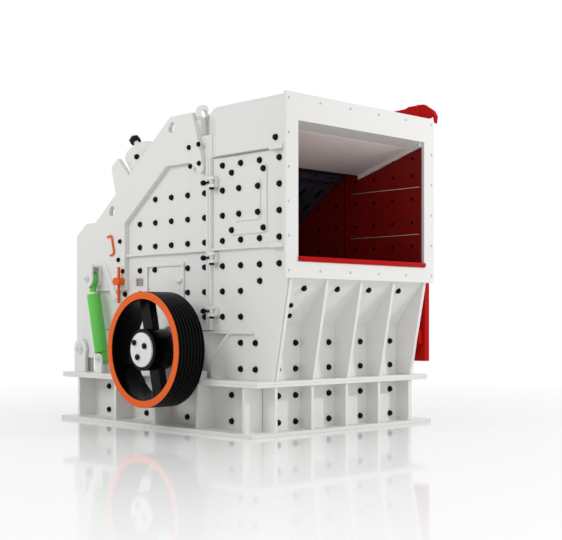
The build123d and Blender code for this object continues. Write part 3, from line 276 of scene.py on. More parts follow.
nodeSlot = {row["node"]: row["material_slot"] for row in frame["record"]["subparts"]}
softEdge = {"width": 0.003, "segments": 2, "weld": 0.00002, "angle": math.radians(35)}
for nodeName, node in nodes.items():
    node.data.materials.clear()
    node.data.materials.append(finishes[nodeSlot[nodeName]])
    weld = node.modifiers.new("joinFacets", "WELD")
    weld.merge_threshold = softEdge["weld"]
    bevel = node.modifiers.new("softEdge", "BEVEL")
    bevel.width = softEdge["width"]
    bevel.segments = softEdge["segments"]
    bevel.limit_method = "ANGLE"
    bevel.angle_limit = softEdge["angle"]
print("finishes on", len(nodes), "nodes")

sides = (-1, 1)  # drive side, idle side
embed = 0.001  # how far a piece reaches into what carries it


def turnTo(normal):
    return Vector(normal).to_track_quat("Z", "Y").to_matrix().to_4x4()


def drum(bm, foot, normal, radius, height, facets=24, topRadius=None):
    # a closed round or many-sided drum standing on foot along normal
    place = Matrix.Translation(Vector(foot) + Vector(normal) * height / 2) @ turnTo(normal)
    top = radius if topRadius is None else topRadius
    bmesh.ops.create_cone(
        bm, cap_ends=True, segments=facets, radius1=radius, radius2=top, depth=height, matrix=place
    )


def softenEdges(bm, edges, width, segments=2):
    bmesh.ops.bevel(
        bm, geom=edges, offset=width, segments=segments, profile=0.5, affect="EDGES", material=-1
    )


def block(bm, low, high, bevel, turn=None):
    # a bar between two corners, turned by a matrix after it is sized
    low, high = Vector(low), Vector(high)
    place = Matrix.Translation((low + high) / 2) @ Matrix.Diagonal((*(high - low), 1))
    place = turn @ place if turn else place
    verts = bmesh.ops.create_cube(bm, size=1, matrix=place)["verts"]
    edges = dict.fromkeys(edge for vert in verts for edge in vert.link_edges)  # each edge once
    softenEdges(bm, list(edges), bevel)


def sideBlock(bm, side, xs, depths, zs, bevel, turn=None):
    # a bar on the wall of one side, its depths counted outward from the middle
    near, far = sorted(side * depth for depth in depths)
    block(bm, (xs[0], near, zs[0]), (xs[1], far, zs[1]), bevel, turn)


def slopeFrame(start, end):
    # a frame at start, its x towards end in the middle plane, and the length between them
    start, end = [Vector((x, 0, z)) for x, z in (start, end)]
    along = (end - start).normalized()
    axes = Matrix((along, (0, 1, 0), (-along.z, 0, along.x))).transposed().to_4x4()
    return Matrix.Translation(start) @ axes, (end - start).length


boltShape = {
    "washerFacets": 14,
    "headFacets": 6,
    "crownFacets": 12,
    "crownFoot": 0.92,  # shares of the head's radius
    "crownTop": 0.72,
}


def hexBolt(bm, foot, normal, size):
    # washer, six-sided head and its chamfered crown
    normal = Vector(normal)
    foot = Vector(foot)
    drum(bm, foot, normal, size["washer"], size["washerHeight"], boltShape["washerFacets"])
    foot = foot + normal * size["washerHeight"]
    drum(bm, foot, normal, size["head"], size["headHeight"], boltShape["headFacets"])
    foot = foot + normal * size["headHeight"]
    crownFoot, crownTop = [size["head"] * boltShape[key] for key in ("crownFoot", "crownTop")]
    drum(bm, foot, normal, crownFoot, size["crown"], boltShape["crownFacets"], crownTop)


def finishPiece(name, bm, material, body, smoothAngle=math.radians(40)):
    bmesh.ops.recalc_face_normals(bm, faces=bm.faces[:])
    mesh = bpy.data.meshes.new(name)
    bm.to_mesh(mesh)
    bm.free()
    mesh.polygons.foreach_set("use_smooth", [True] * len(mesh.polygons))
    mesh.set_sharp_from_angle(angle=smoothAngle)
    mesh.materials.append(material)
    piece = bpy.data.objects.new(name, mesh)
    scene.collection.objects.link(piece)
    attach(piece, body)
    return piece


def boxMiddle(node):
    low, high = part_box(node)
    return [(a + b) / 2 for a, b in zip(low, high)]


# bolts on the side walls, in columns and rows that the wear tiles' bolts share
wallBolt = {
    "washer": 0.026,
    "washerHeight": 0.004,
    "head": 0.0225,
    "headHeight": 0.013,
    "crown": 0.004,
}
wallGrid = {
    "frontColumns": (0.695, 0.916, 1.138, 1.361),
    "rearColumns": (-0.667, -0.444, -0.221, 0.002, 0.224, 0.446),
    "rows": (2.172, 1.968, 1.763, 1.557, 1.351, 1.145, 0.938),
    "shortFrom": 1.0,  # columns past this x have bolts above shortAbove only
    "shortAbove": 1.3,
    "hoodBolt": (1.360, 2.323),
    "chuteBolt": (1.141, 1.220),
    "lowColumns": (0.915, 1.090),
    "lowRows": (0.729, 0.519),
    "baseRows": (0.303, 0.090),
    "baseOffsets": (-0.064, 0.110),
    "doorGap": (-0.35, 0.19, 1.10, 1.40),
}
bladeBolt = {
    "washer": 0.022,
    "washerHeight": 0.004,
    "head": 0.019,
    "headHeight": 0.011,
    "crown": 0.003,
    "spots": (
        (0.293, 2.362), (0.420, 2.375), (0.312, 2.201), (0.425, 2.216),
        (-0.685, 1.621), (-0.709, 1.456), (-0.640, 1.351),
    ),
}
bladeEdge = {"foot": 1.16, "rear": -0.6, "start": (-0.022, 2.175), "rise": 0.756}
cover = {
    "half": (0.22, 0.27),
    "corner": (0.187, 0.232),
    "panelHalf": (0.1535, 0.1645),
    "panelRise": 0.01,
}
baseRib = {"bays": 4, "thick": 0.03}
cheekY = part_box("front_cheeks")[1][1]
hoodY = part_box("hood_sides")[1][1]
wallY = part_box("rear_side_walls")[1][1]
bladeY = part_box("rear_blades")[1][1]
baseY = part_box("base_side_walls")[1][1]
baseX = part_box("base_end_walls")[1][0]
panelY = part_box("access_covers")[1][1]
coverY = panelY - cover["panelRise"]
coverMiddle = boxMiddle("access_covers")
ribLow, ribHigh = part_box("base_side_ribs")
ribPitch = (ribHigh[0] - ribLow[0] - baseRib["thick"]) / baseRib["bays"]


def frontDepth(x, z):
    # how far out the front wall's surface lies: the cover's panel, its rim or the cheek
    fromMiddle = (abs(x - coverMiddle[0]), abs(z - coverMiddle[2]))
    for half, depth in ((cover["panelHalf"], panelY), (cover["half"], coverY)):
        if fromMiddle[0] < half[0] and fromMiddle[1] < half[1]:
            return depth
    return cheekY


def behindBlade(x, z):
    # the blade's sloping inner edge, with room for a bolt head
    startX, startZ = bladeEdge["start"]
    pastEdge = x < bladeEdge["rear"] or z > startZ + (x - startX) * bladeEdge["rise"]
    return z > bladeEdge["foot"] and pastEdge


frameBolts = bmesh.new()
rearBolts = bmesh.new()
for side in sides:
    outward = (0, side, 0)
    for x in wallGrid["frontColumns"]:
        for z in wallGrid["rows"]:
            if z > wallGrid["shortAbove"] or x < wallGrid["shortFrom"]:
                hexBolt(frameBolts, (x, side * frontDepth(x, z), z), outward, wallBolt)
    for dx in sides:
        for dz in sides:
            cornerX = coverMiddle[0] + dx * cover["corner"][0]
            cornerZ = coverMiddle[2] + dz * cover["corner"][1]
            hexBolt(frameBolts, (cornerX, side * coverY, cornerZ), outward, wallBolt)
    for x in wallGrid["lowColumns"]:
        for z in wallGrid["lowRows"]:
            hexBolt(frameBolts, (x, side * cheekY, z), outward, wallBolt)
    for (x, z), depth in ((wallGrid["hoodBolt"], hoodY), (wallGrid["chuteBolt"], cheekY)):
        hexBolt(frameBolts, (x, side * depth, z), outward, wallBolt)
    for bay in range(baseRib["bays"]):
        bayMiddle = ribLow[0] + baseRib["thick"] / 2 + ribPitch * (bay + 0.5)
        for offset in wallGrid["baseOffsets"]:
            for z in wallGrid["baseRows"]:
                hexBolt(frameBolts, (bayMiddle + offset, side * baseY, z), outward, wallBolt)
    for x, z in bladeBolt["spots"]:
        hexBolt(rearBolts, (x, side * bladeY, z), outward, bladeBolt)
    doorLeft, doorRight, doorLow, doorHigh = wallGrid["doorGap"]
    for x in wallGrid["rearColumns"]:
        for z in wallGrid["rows"][1:]:
            onDoor = doorLeft < x < doorRight and doorLow < z < doorHigh
            if not behindBlade(x, z) and not onDoor:
                hexBolt(rearBolts, (x, side * wallY, z), outward, wallBolt)
finishPiece("frameBolts", frameBolts, boltBlack, "frame")
finishPiece("rearBolts", rearBolts, boltBlack, "rear_housing")
print("side bolts placed")


# bolts on both ends of the base and on the bent front wall above it, two columns to a bay
endGrid = {
    "bays": 4,
    "columns": ((-0.660, 0.375), (-0.466, 0.392)),  # y in the first bay, step to the next
    "rows": (0.727, 0.518),
    "slopeColumn": (-0.612, 0.383),
    "slopeZ": 1.163,
    "edgeBolts": ((-0.654, 1.030), (-0.604, 0.948)),  # small ones beside the first rib
    "bend": 0.859,
    "top": 1.250,
}
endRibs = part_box("base_end_ribs")
bayPitch = (endRibs[1][1] - endRibs[0][1] - baseRib["thick"]) / endGrid["bays"]
chuteX = (baseX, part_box("front_wall")[1][0])  # outside of the front wall, at its foot and top
chuteAlong = Vector((chuteX[1] - chuteX[0], 0, endGrid["top"] - endGrid["bend"])).normalized()
chuteOut = (chuteAlong.z, 0, -chuteAlong.x)
endBolts = bmesh.new()


def onSlope(y, z):
    return chuteX[0] + (z - endGrid["bend"]) * chuteAlong.x / chuteAlong.z, y, z


for y, z in endGrid["edgeBolts"]:
    hexBolt(endBolts, onSlope(y, z), chuteOut, bladeBolt)
for bay in range(endGrid["bays"]):
    firstY, stepY = endGrid["slopeColumn"]
    hexBolt(endBolts, onSlope(firstY + stepY * bay, endGrid["slopeZ"]), chuteOut, wallBolt)
    for firstY, stepY in endGrid["columns"]:
        y = firstY + stepY * bay
        for z in endGrid["rows"]:
            hexBolt(endBolts, (chuteX[0], y, z), (1, 0, 0), wallBolt)
        for z in wallGrid["baseRows"]:
            hexBolt(endBolts, (baseX, y, z), (1, 0, 0), wallBolt)
            hexBolt(endBolts, (-baseX, y, z), (-1, 0, 0), wallBolt)
finishPiece("feedEndBolts", endBolts, boltBlack, "frame")


# small plated bolts round the edge of the feed plate
chuteBolt = {
    "washer": 0.011,
    "washerHeight": 0.002,
    "head": 0.008,
    "headHeight": 0.0048,
    "crown": 0.002,
    "count": 6,
    "edge": 0.031,
    "bottomEdge": 0.059,
    "topEdge": 0.049,
}
plateLow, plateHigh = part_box("feed_plate")
borderBolts = bmesh.new()
lowY, highY = plateLow[1] + chuteBolt["edge"], plateHigh[1] - chuteBolt["edge"]
lowZ, highZ = plateLow[2] + chuteBolt["bottomEdge"], plateHigh[2] - chuteBolt["topEdge"]
last = chuteBolt["count"] - 1
for row in range(chuteBolt["count"]):
    for column in range(chuteBolt["count"]):
        if row in (0, last) or column in (0, last):
            y = lowY + (highY - lowY) * column / last
            z = lowZ + (highZ - lowZ) * row / last
            hexBolt(borderBolts, (plateHigh[0], y, z), (1, 0, 0), chuteBolt)
finishPiece("chuteBolts", borderBolts, boltPale, "frame")
print("feed end bolted")


# wear tiles on the side liners, each with its bolts; the rear ones are thinner, beside the aprons
tile = {
    "frontColumns": (0.563, 0.785, 1.007, 1.230, 1.450),
    "rearColumns": (-0.104, 0.118, 0.341, 0.534),
    "rows": (0.440, 0.838, 1.248, 1.658, 2.068),
    "lipGap": 0.004,  # from the feed lip's end to the liner
    "joint": 0.003,
    "thick": 0.012,
    "rearThick": 0.004,
    "bevel": 0.001,
    "facet": math.radians(5),
    "chuteFoot": (1.10, 0.90),
    "chuteRise": 1.253,
    "ceilingFoot": (0.785, 2.245),
    "ceilingRise": 0.3015,
    "strip": (0.640, 1.440),
    "stripFrom": 3,  # first row with a pale strip over its joint, a painted highlight
    "stripHalf": 0.002,
    "stripProud": 0.0005,
    "rearTop": 2.400,
    "roofBreak": 0.168,
    "roofRise": 0.763,
    "rearBoltsFrom": 3,  # first rear column of the wall's grid that lies on a tile
    "least": 0.05,
}
tileBolt = {
    "washer": 0.015,
    "washerHeight": 0.0015,
    "head": 0.0125,
    "headHeight": 0.003,
    "crown": 0.0015,
}
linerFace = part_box("feed_lip")[1][1] + tile["lipGap"]
frontTileFace = linerFace - tile["thick"]
rearTileFace = linerFace - tile["rearThick"]
frontTiles, frontTileBolts, rearTiles, rearTileBolts, jointHighlights = [bmesh.new() for _ in range(5)]


def chuteFloor(x):
    footX, footZ = tile["chuteFoot"]
    return footZ + (x - footX) * tile["chuteRise"] if x > footX else 0.0


def ceilingAt(x):
    footX, footZ = tile["ceilingFoot"]
    return footZ + max(0.0, x - footX) * tile["ceilingRise"]


def rearRoofAt(x):
    return tile["rearTop"] - max(0.0, tile["roofBreak"] - x) * tile["roofRise"]


def layTile(bm, side, xs, zs, face):
    gap = tile["joint"] / 2
    if zs[1] - zs[0] > tile["least"]:
        xs, zs = [(low + gap, high - gap) for low, high in (xs, zs)]
        sideBlock(bm, side, xs, (face, linerFace), zs, tile["bevel"])


for side in sides:
    for xs in zip(tile["frontColumns"], tile["frontColumns"][1:]):
        rows = (*tile["rows"], ceilingAt(xs[0]))
        for low, high in zip(rows, rows[1:]):
            layTile(frontTiles, side, xs, (max(low, chuteFloor(xs[1])), high), frontTileFace)
    for xs in zip(tile["rearColumns"], tile["rearColumns"][1:]):
        rows = (*tile["rows"][1:], rearRoofAt(xs[0]))
        for zs in zip(rows, rows[1:]):
            layTile(rearTiles, side, xs, zs, rearTileFace)
    # pale strips over the upper joints: painted highlight, for light caught along the joints
    for z in tile["rows"][tile["stripFrom"]:]:
        depths = (frontTileFace - tile["stripProud"], linerFace)
        zs = (z - tile["stripHalf"], z + tile["stripHalf"])
        sideBlock(jointHighlights, side, tile["strip"], depths, zs, tile["bevel"] / 2)
    inward = (0, -side, 0)
    for x in wallGrid["frontColumns"]:
        for z in (wallGrid["hoodBolt"][1], *wallGrid["rows"]):
            if chuteFloor(x) + tile["least"] < z < ceilingAt(x) - tile["least"] / 2:
                hexBolt(frontTileBolts, (x, side * frontTileFace, z), inward, tileBolt)
    for x in wallGrid["rearColumns"][tile["rearBoltsFrom"]:]:
        for z in wallGrid["rows"]:
            hexBolt(rearTileBolts, (x, side * rearTileFace, z), inward, tileBolt)
linerPaint = finishes["liner_red"]
finishPiece("wearTiles", frontTiles, linerPaint, "frame", tile["facet"])
finishPiece("jointHighlightStrips", jointHighlights, shadeAndHighlightPaint, "frame")
finishPiece("wearTileBolts", frontTileBolts, boltBlack, "frame")
finishPiece("rearWearTiles", rearTiles, linerPaint, "rear_housing", tile["facet"])
finishPiece("rearWearTileBolts", rearTileBolts, boltBlack, "rear_housing")
print("wear tiles laid")


# darker brownish plate under the ceiling, behind the white strip at the feed plate: painted shade
# for the shade under the ceiling
ceilingShade = {
    "front": (1.327, 2.4115),
    "rear": (0.738, 2.2339),
    "half": 0.742,
    "thick": 0.004,
    "bevel": 0.001,
}
ceilingShadeFrame, ceilingShadeLength = slopeFrame(ceilingShade["rear"], ceilingShade["front"])
ceilingPlate = bmesh.new()
block(
    ceilingPlate,
    (0, -ceilingShade["half"], -ceilingShade["thick"]),
    (ceilingShadeLength, ceilingShade["half"], embed),
    ceilingShade["bevel"],
    ceilingShadeFrame,
)
finishPiece("ceilingShadePlate", ceilingPlate, shadeAndHighlightPaint, "frame")


# dark plate that closes the gap between the ceiling and the apron
closing = {"xs": (0.552, 0.737), "zs": (2.240, 2.247), "half": 0.745, "bevel": 0.002}
closingPlate = bmesh.new()
block(
    closingPlate,
    (closing["xs"][0], -closing["half"], closing["zs"][0]),
    (closing["xs"][1], closing["half"], closing["zs"][1]),
    closing["bevel"],
)
finishPiece("ceilingClosingPlate", closingPlate, finishes["dark_steel"], "frame")


# wear bars with slots down the face of the upper apron, and its nose; the slots are black blocks on
# the bars, painted shade inside them
apronBar = {
    "top": (0.415, 2.1562),
    "bottom": (-0.160, 1.7572),
    "count": 7,
    "width": 0.192,
    "pitch": 0.208,
    "thick": 0.022,
    "seat": 0.002,
    "bevel": 0.005,
    "slots": (0.29, 0.58, 0.87, 1.12),  # shares of the bar's length; past 1 lies the nose
    "slotSize": (0.085, 0.042, 0.006),
    "slotBevel": 0.002,
    "nose": (0.020, 0.140),
    "noseDepths": (-0.004, 0.030),
    "noseHalf": 0.745,
}
barFrame, barLength = slopeFrame(apronBar["bottom"], apronBar["top"])
noseStart, noseEnd = [barLength + reach for reach in apronBar["nose"]]
noseLow, noseHigh = apronBar["noseDepths"]
barHalf = apronBar["width"] / 2
slotLength, slotWidth, slotRise = apronBar["slotSize"]
apronBars = bmesh.new()
apronSlots = bmesh.new()
for index in range(apronBar["count"]):
    y = apronBar["pitch"] * (index - (apronBar["count"] - 1) / 2)
    block(
        apronBars,
        (0, y - barHalf, -apronBar["thick"]),
        (barLength, y + barHalf, apronBar["seat"]),
        apronBar["bevel"],
        barFrame,
    )
    # black slot blocks: painted shade for the slots' dark insides
    for share in apronBar["slots"]:
        middle = barLength * share
        face = -apronBar["thick"] if share < 1 else noseLow
        block(
            apronSlots,
            (middle - slotLength / 2, y - slotWidth / 2, face - slotRise),
            (middle + slotLength / 2, y + slotWidth / 2, face),
            apronBar["slotBevel"],
            barFrame,
        )
block(
    apronBars,
    (noseStart, -apronBar["noseHalf"], noseLow),
    (noseEnd, apronBar["noseHalf"], noseHigh),
    apronBar["bevel"],
    barFrame,
)
finishPiece("apronBars", apronBars, finishes["dark_steel"], "rear_housing")
finishPiece("apronSlotShade", apronSlots, boltBlack, "rear_housing")
print("apron bars laid")


# swing bolts in the slotted clamps: a nut behind the rear flange, an eye and a pin in the clamp
swingBolt = {
    "heights": (0.9855, 1.4241, 2.0435),
    "rod": 0.009,
    "rodOut": 0.045,
    "rodTail": 0.014,
    "nut": 0.023,
    "nutHeight": 0.024,
    "eye": 0.017,
    "clampHalf": 0.045,
    "pinHead": 0.020,
    "pinHeadHeights": (0.017, 0.010),
    "reach": 0.003,
}
pinX = boxMiddle("split_clamps")[0]
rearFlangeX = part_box("rear_split_flanges")[0][0]
rodEnd = rearFlangeX - swingBolt["nutHeight"] - swingBolt["rodTail"]
nutFoot = rearFlangeX - swingBolt["nutHeight"] - swingBolt["reach"]
eye, pinHead, clampHalf = [swingBolt[key] for key in ("eye", "pinHead", "clampHalf")]
lowHead, highHead = swingBolt["pinHeadHeights"]
swingBolts = bmesh.new()
swingEyes = bmesh.new()
for side in sides:
    y = side * (cheekY + swingBolt["rodOut"])
    for z in swingBolt["heights"]:
        # the rods' black is painted shade: they lie in the clamps' shadow
        drum(swingBolts, (rodEnd, y, z), (1, 0, 0), swingBolt["rod"], pinX - rodEnd, facets=16)
        nutSize = (swingBolt["nut"], swingBolt["nutHeight"])
        drum(swingBolts, (nutFoot, y, z), (1, 0, 0), *nutSize, facets=6)
        drum(swingEyes, (pinX, y, z - eye), (0, 0, 1), eye, 2 * eye, facets=20)
        drum(swingBolts, (pinX, y, z - clampHalf), (0, 0, -1), pinHead, lowHead, facets=18)
        drum(swingEyes, (pinX, y, z + clampHalf), (0, 0, 1), pinHead, highHead, facets=18)
finishPiece("swingEyes", swingEyes, finishes["bearing_paint"], "frame")
finishPiece("swingBolts", swingBolts, boltBlack, "frame")
print("clamps bolted")


# hub cap with a rounded rim, set back so that its bolt heads end flush with the solid's face
capBolt = {
    "washer": 0.020,
    "washerHeight": 0.003,
    "head": 0.025,
    "headHeight": 0.013,
    "crown": 0.002,
    "proud": 0.0182,
    "spots": ((-0.080, 0.058), (0.057, 0.032), (-0.036, -0.061)),
    "facets": 72,
    "rim": 0.005,
    "rimSegments": 3,
    "near": 0.001,  # an edge this close to the face is on its rim
}
capLow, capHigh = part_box("hub_cap")
capMiddle = boxMiddle("hub_cap")
capFace = capLow[1] + capBolt["proud"]
capFoot = (capMiddle[0], capHigh[1], capMiddle[2])
capRadius = (capHigh[0] - capLow[0]) / 2
hubCap = bmesh.new()
drum(hubCap, capFoot, (0, -1, 0), capRadius, capHigh[1] - capFace, capBolt["facets"])
rimY = capFace + capBolt["near"]
rim = [edge for edge in hubCap.edges if max(vert.co.y for vert in edge.verts) < rimY]
softenEdges(hubCap, rim, capBolt["rim"], capBolt["rimSegments"])
hubBolts = bmesh.new()
for dx, dz in capBolt["spots"]:
    hexBolt(hubBolts, (capMiddle[0] + dx, capFace, capMiddle[2] + dz), (0, -1, 0), capBolt)
capSlot = nodeSlot["hub_cap"]
capPiece = finishPiece("hubCapPlate", hubCap, finishes[capSlot], "rotor")
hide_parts("hub_cap")
finishPiece("hubCapBolts", hubBolts, boltBlack, "rotor")


# bearing blocks: cover bolts in a ring, foot bolts and a grease nipple
bearing = {
    "coverCircle": 0.128,
    "coverCount": 8,
    "coverRise": 0.016,
    "footX": 0.237,
    "footY": 0.08,
    "footHeight": 0.06,
    "nipple": 0.011,
    "nippleTop": 0.0055,
    "nippleHeight": 0.03,
    "nippleSeat": 0.002,
}
coverBolt = {
    "washer": 0.014,
    "washerHeight": 0.002,
    "head": 0.012,
    "headHeight": 0.007,
    "crown": 0.002,
}
footBolt = {
    "washer": 0.034,
    "washerHeight": 0.005,
    "head": 0.029,
    "headHeight": 0.019,
    "crown": 0.004,
}
bearingLow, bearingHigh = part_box("bearing_housings")
bearingX = (bearingLow[0] + bearingHigh[0]) / 2
axisZ = capMiddle[2]
footZ = bearingLow[2] + bearing["footHeight"]
nippleZ = bearingHigh[2] - bearing["nippleSeat"]
bearingBolts = bmesh.new()
for side in sides:
    for index in range(bearing["coverCount"]):
        angle = (index + 0.5) * math.tau / bearing["coverCount"]
        spot = (
            bearingX + bearing["coverCircle"] * math.cos(angle),
            side * bearingHigh[1],
            axisZ + bearing["coverCircle"] * math.sin(angle),
        )
        hexBolt(bearingBolts, spot, (0, side, 0), coverBolt)
    footMiddle = side * (bearingHigh[1] - bearing["coverRise"] - bearing["footY"])
    for dx in sides:
        foot = (bearingX + dx * bearing["footX"], footMiddle, footZ)
        hexBolt(bearingBolts, foot, (0, 0, 1), footBolt)
    drum(
        bearingBolts,
        (bearingX, footMiddle, nippleZ),
        (0, 0, 1),
        bearing["nipple"],
        bearing["nippleHeight"],
        facets=12,
        topRadius=bearing["nippleTop"],
    )
finishPiece("bearingBolts", bearingBolts, boltBlack, "frame")
print("bearings bolted")


# pin ends: a round plate and two bolts on each hinge and cylinder pin
pinEnd = {"thick": 0.010, "taper": 0.92, "facets": 28, "spread": 0.55}
pinBolt = {
    "washer": 0.011,
    "washerHeight": 0.002,
    "head": 0.009,
    "headHeight": 0.006,
    "crown": 0.002,
}
hingePin = {"on": "hinge_forks", "x": boxMiddle("hinge_forks")[0], "z": 0.640, "radius": 0.052}
footPin = {"on": "cylinder_feet", "x": boxMiddle("cylinder_feet")[0], "z": 0.560, "radius": 0.034}
headPin = {"on": "cylinder_heads", "x": -1.036, "z": 1.290, "radius": 0.034}


def pinPlate(bm, pin, side):
    outward = (0, side, 0)
    x, y, z = pin["x"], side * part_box(pin["on"])[1][1], pin["z"]
    radius, thick = pin["radius"], pinEnd["thick"]
    drum(bm, (x, y, z), outward, radius, thick, pinEnd["facets"], radius * pinEnd["taper"])
    for dx in sides:
        spot = (x + dx * radius * pinEnd["spread"], y + side * thick, z)
        hexBolt(bm, spot, outward, pinBolt)


framePins = bmesh.new()
rearPins = bmesh.new()
for side in sides:
    pinPlate(framePins, hingePin, side)
    pinPlate(framePins, footPin, side)
    pinPlate(rearPins, headPin, side)
finishPiece("framePinPlates", framePins, finishes["bearing_paint"], "frame")
finishPiece("rearPinPlates", rearPins, finishes["bearing_paint"], "rear_housing")


# black nuts on the apron adjusters' spindles, and a bolt on the side of each housing
adjusterNut = {
    "roofAngle": math.radians(37.35),
    "foot": (-0.3596, 2.0551),
    "y": 0.66,
    "nutAt": (0.618, 0.664),
    "nut": 0.052,
    "radius": 0.160,
    "boltAt": 0.3575,
    "boltTurn": math.radians(23),
    "boltSeat": 0.003,
}
roofTurn = adjusterNut["roofAngle"]
adjusterOut = Vector((-math.sin(roofTurn), 0, math.cos(roofTurn)))
adjusterUp = Vector((math.cos(roofTurn), 0, math.sin(roofTurn)))
nutLow, nutHigh = adjusterNut["nutAt"]
boltReach = adjusterNut["radius"] - adjusterNut["boltSeat"]
spindleNuts = bmesh.new()
for side in sides:
    foot = Vector((adjusterNut["foot"][0], side * adjusterNut["y"], adjusterNut["foot"][1]))
    nutSize = (adjusterNut["nut"], nutHigh - nutLow)
    drum(spindleNuts, foot + adjusterOut * nutLow, adjusterOut, *nutSize, facets=6)
    sideways = Vector((0, side * math.cos(adjusterNut["boltTurn"]), 0))
    boltOut = sideways + adjusterUp * math.sin(adjusterNut["boltTurn"])
    boltSpot = foot + adjusterOut * adjusterNut["boltAt"] + boltOut * boltReach
    hexBolt(spindleNuts, boltSpot, boltOut, wallBolt)
finishPiece("spindleNuts", spindleNuts, boltBlack, "rear_housing")


# flat safety strut beside each cylinder
strut = {
    "top": (-0.930, 1.406),
    "foot": (-0.740, 1.097),
    "half": 0.037,
    "depths": (0.874, 0.888),
    "bevel": 0.002,
}
strutFrame, strutLength = slopeFrame(strut["foot"], strut["top"])
struts = bmesh.new()
for side in sides:
    zs = (-strut["half"], strut["half"])
    sideBlock(struts, side, (0, strutLength), strut["depths"], zs, strut["bevel"], strutFrame)
finishPiece("safetyStruts", struts, finishes["body_paint"], "rear_housing")


# blocks at the ends of the ledges, and the sloping bar below them
ledgeBlock = {
    "xs": (1.290, 1.446),
    "levels": ((2.232, 2.268, 0.902), (1.471, 1.508, 0.896)),  # bottom, top, how far out
    "bevel": 0.003,
}
notchBar = {
    "top": (0.790, 0.814),
    "foot": (0.552, 0.604),
    "depths": (0.829, 0.876),
    "thick": 0.014,
    "bevel": 0.003,
}
notchFrame, notchLength = slopeFrame(notchBar["foot"], notchBar["top"])
ledgeBlocks = bmesh.new()
for side in sides:
    for low, high, reach in ledgeBlock["levels"]:
        depths = (cheekY - embed, reach)
        sideBlock(ledgeBlocks, side, ledgeBlock["xs"], depths, (low, high), ledgeBlock["bevel"])
    xs, zs = (0, notchLength), (-notchBar["thick"], 0)
    sideBlock(ledgeBlocks, side, xs, notchBar["depths"], zs, notchBar["bevel"], notchFrame)
finishPiece("ledgeBrackets", ledgeBlocks, finishes["body_paint"], "frame")


# ribs down the rear roof, between the adjusters
roofRib = {
    "ys": (-0.30, 0.0, 0.30),
    "run": (0.10, 1.40),
    "height": 0.07,
    "half": 0.008,
    "bevel": 0.002,
    "crownBack": (0.158, 2.450),
}
ribStart, ribEnd = roofRib["run"]
ribFoot = Vector((roofRib["crownBack"][0], 0, roofRib["crownBack"][1]))
ribAxes = Matrix((-adjusterUp, (0, 1, 0), adjusterOut)).transposed().to_4x4()
ribFrame = Matrix.Translation(ribFoot) @ ribAxes
roofRibs = bmesh.new()
for y in roofRib["ys"]:
    block(
        roofRibs,
        (ribStart, y - roofRib["half"], -embed),
        (ribEnd, y + roofRib["half"], roofRib["height"]),
        roofRib["bevel"],
        ribFrame,
    )
finishPiece("roofRibs", roofRibs, finishes["body_paint"], "rear_housing")


# bolts round the back of the rear box
backGrid = {
    "columns": (-0.76, -0.50, -0.25, 0.0, 0.25, 0.50, 0.76),
    "rows": (0.80, 1.19, 1.58),
    "sparseRow": 1,  # only its two end bolts
}
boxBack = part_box("rear_box")[0][0]
backBolts = bmesh.new()
for row, z in enumerate(backGrid["rows"]):
    columns = backGrid["columns"]
    if row == backGrid["sparseRow"]:
        columns = (columns[0], columns[-1])
    for y in columns:
        hexBolt(backBolts, (boxBack, y, z), (-1, 0, 0), wallBolt)
finishPiece("backBolts", backBolts, boltBlack, "rear_housing")
print("roof and back dressed")


# inspection door on each rear side wall: frame bars, a leaf, hinges and a latch
door = {
    "xs": (-0.357, 0.182),
    "zs": (1.090, 1.409),
    "bar": 0.034,
    "gap": 0.006,
    "rise": 0.016,
    "leafRise": 0.007,
    "bevel": 0.003,
    "hinge": 0.011,
    "hingeLength": 0.070,
    "hingeShares": (0.22, 0.78),
    "latch": (0.05, 0.030, 0.020),
    "bolt": (-0.221, 1.351),
}
(left, right), (low, high), bar = door["xs"], door["zs"], door["bar"]
leafEdge = bar + door["gap"]
barFace, leafFace = wallY + door["rise"], wallY + door["leafRise"]
barDepths, leafDepths = (wallY - embed, barFace), (wallY - embed, leafFace)
latchWidth, latchHeight, latchRise = door["latch"]
latchZ = (low + high) / 2
doorBars = (
    ((left, right), barDepths, (high - bar, high)),
    ((left, right), barDepths, (low, low + bar)),
    ((left, left + bar), barDepths, (low + bar, high - bar)),
    ((right - bar, right), barDepths, (low + bar, high - bar)),
    ((left + leafEdge, right - leafEdge), leafDepths, (low + leafEdge, high - leafEdge)),
)
doors = bmesh.new()
doorBolts = bmesh.new()
for side in sides:
    for xs, depths, zs in doorBars:
        sideBlock(doors, side, xs, depths, zs, door["bevel"])
    for share in door["hingeShares"]:
        hingeFoot = low + (high - low) * share - door["hingeLength"] / 2
        foot = (left + bar, side * barFace, hingeFoot)
        drum(doors, foot, (0, 0, 1), door["hinge"], door["hingeLength"], facets=16)
    boltX, boltZ = door["bolt"]
    hexBolt(doorBolts, (boltX, side * leafFace, boltZ), (0, side, 0), wallBolt)
    sideBlock(
        doors,
        side,
        (right - leafEdge - latchWidth, right - bar / 2),
        (leafFace, barFace + latchRise),
        (latchZ - latchHeight / 2, latchZ + latchHeight / 2),
        door["bevel"],
    )
finishPiece("inspectionDoors", doors, finishes["body_paint"], "rear_housing")
finishPiece("doorBolts", doorBolts, boltBlack, "rear_housing")


# small louvred vents beside the doors
vent = {
    "xs": (-0.497, -0.405),
    "zs": (1.218, 1.289),
    "slats": 5,
    "slatShare": 0.6,  # of the pitch
    "rise": 0.010,
    "bevel": 0.001,
}
slatPitch = (vent["zs"][1] - vent["zs"][0]) / vent["slats"]
vents = bmesh.new()
for side in sides:
    depths = (wallY - embed, wallY + vent["rise"])
    for slat in range(vent["slats"]):
        bottom = vent["zs"][0] + slatPitch * slat
        zs = (bottom, bottom + slatPitch * vent["slatShare"])
        sideBlock(vents, side, vent["xs"], depths, zs, vent["bevel"])
finishPiece("ventSlats", vents, boltSteel, "rear_housing")
print("door and vents fitted")


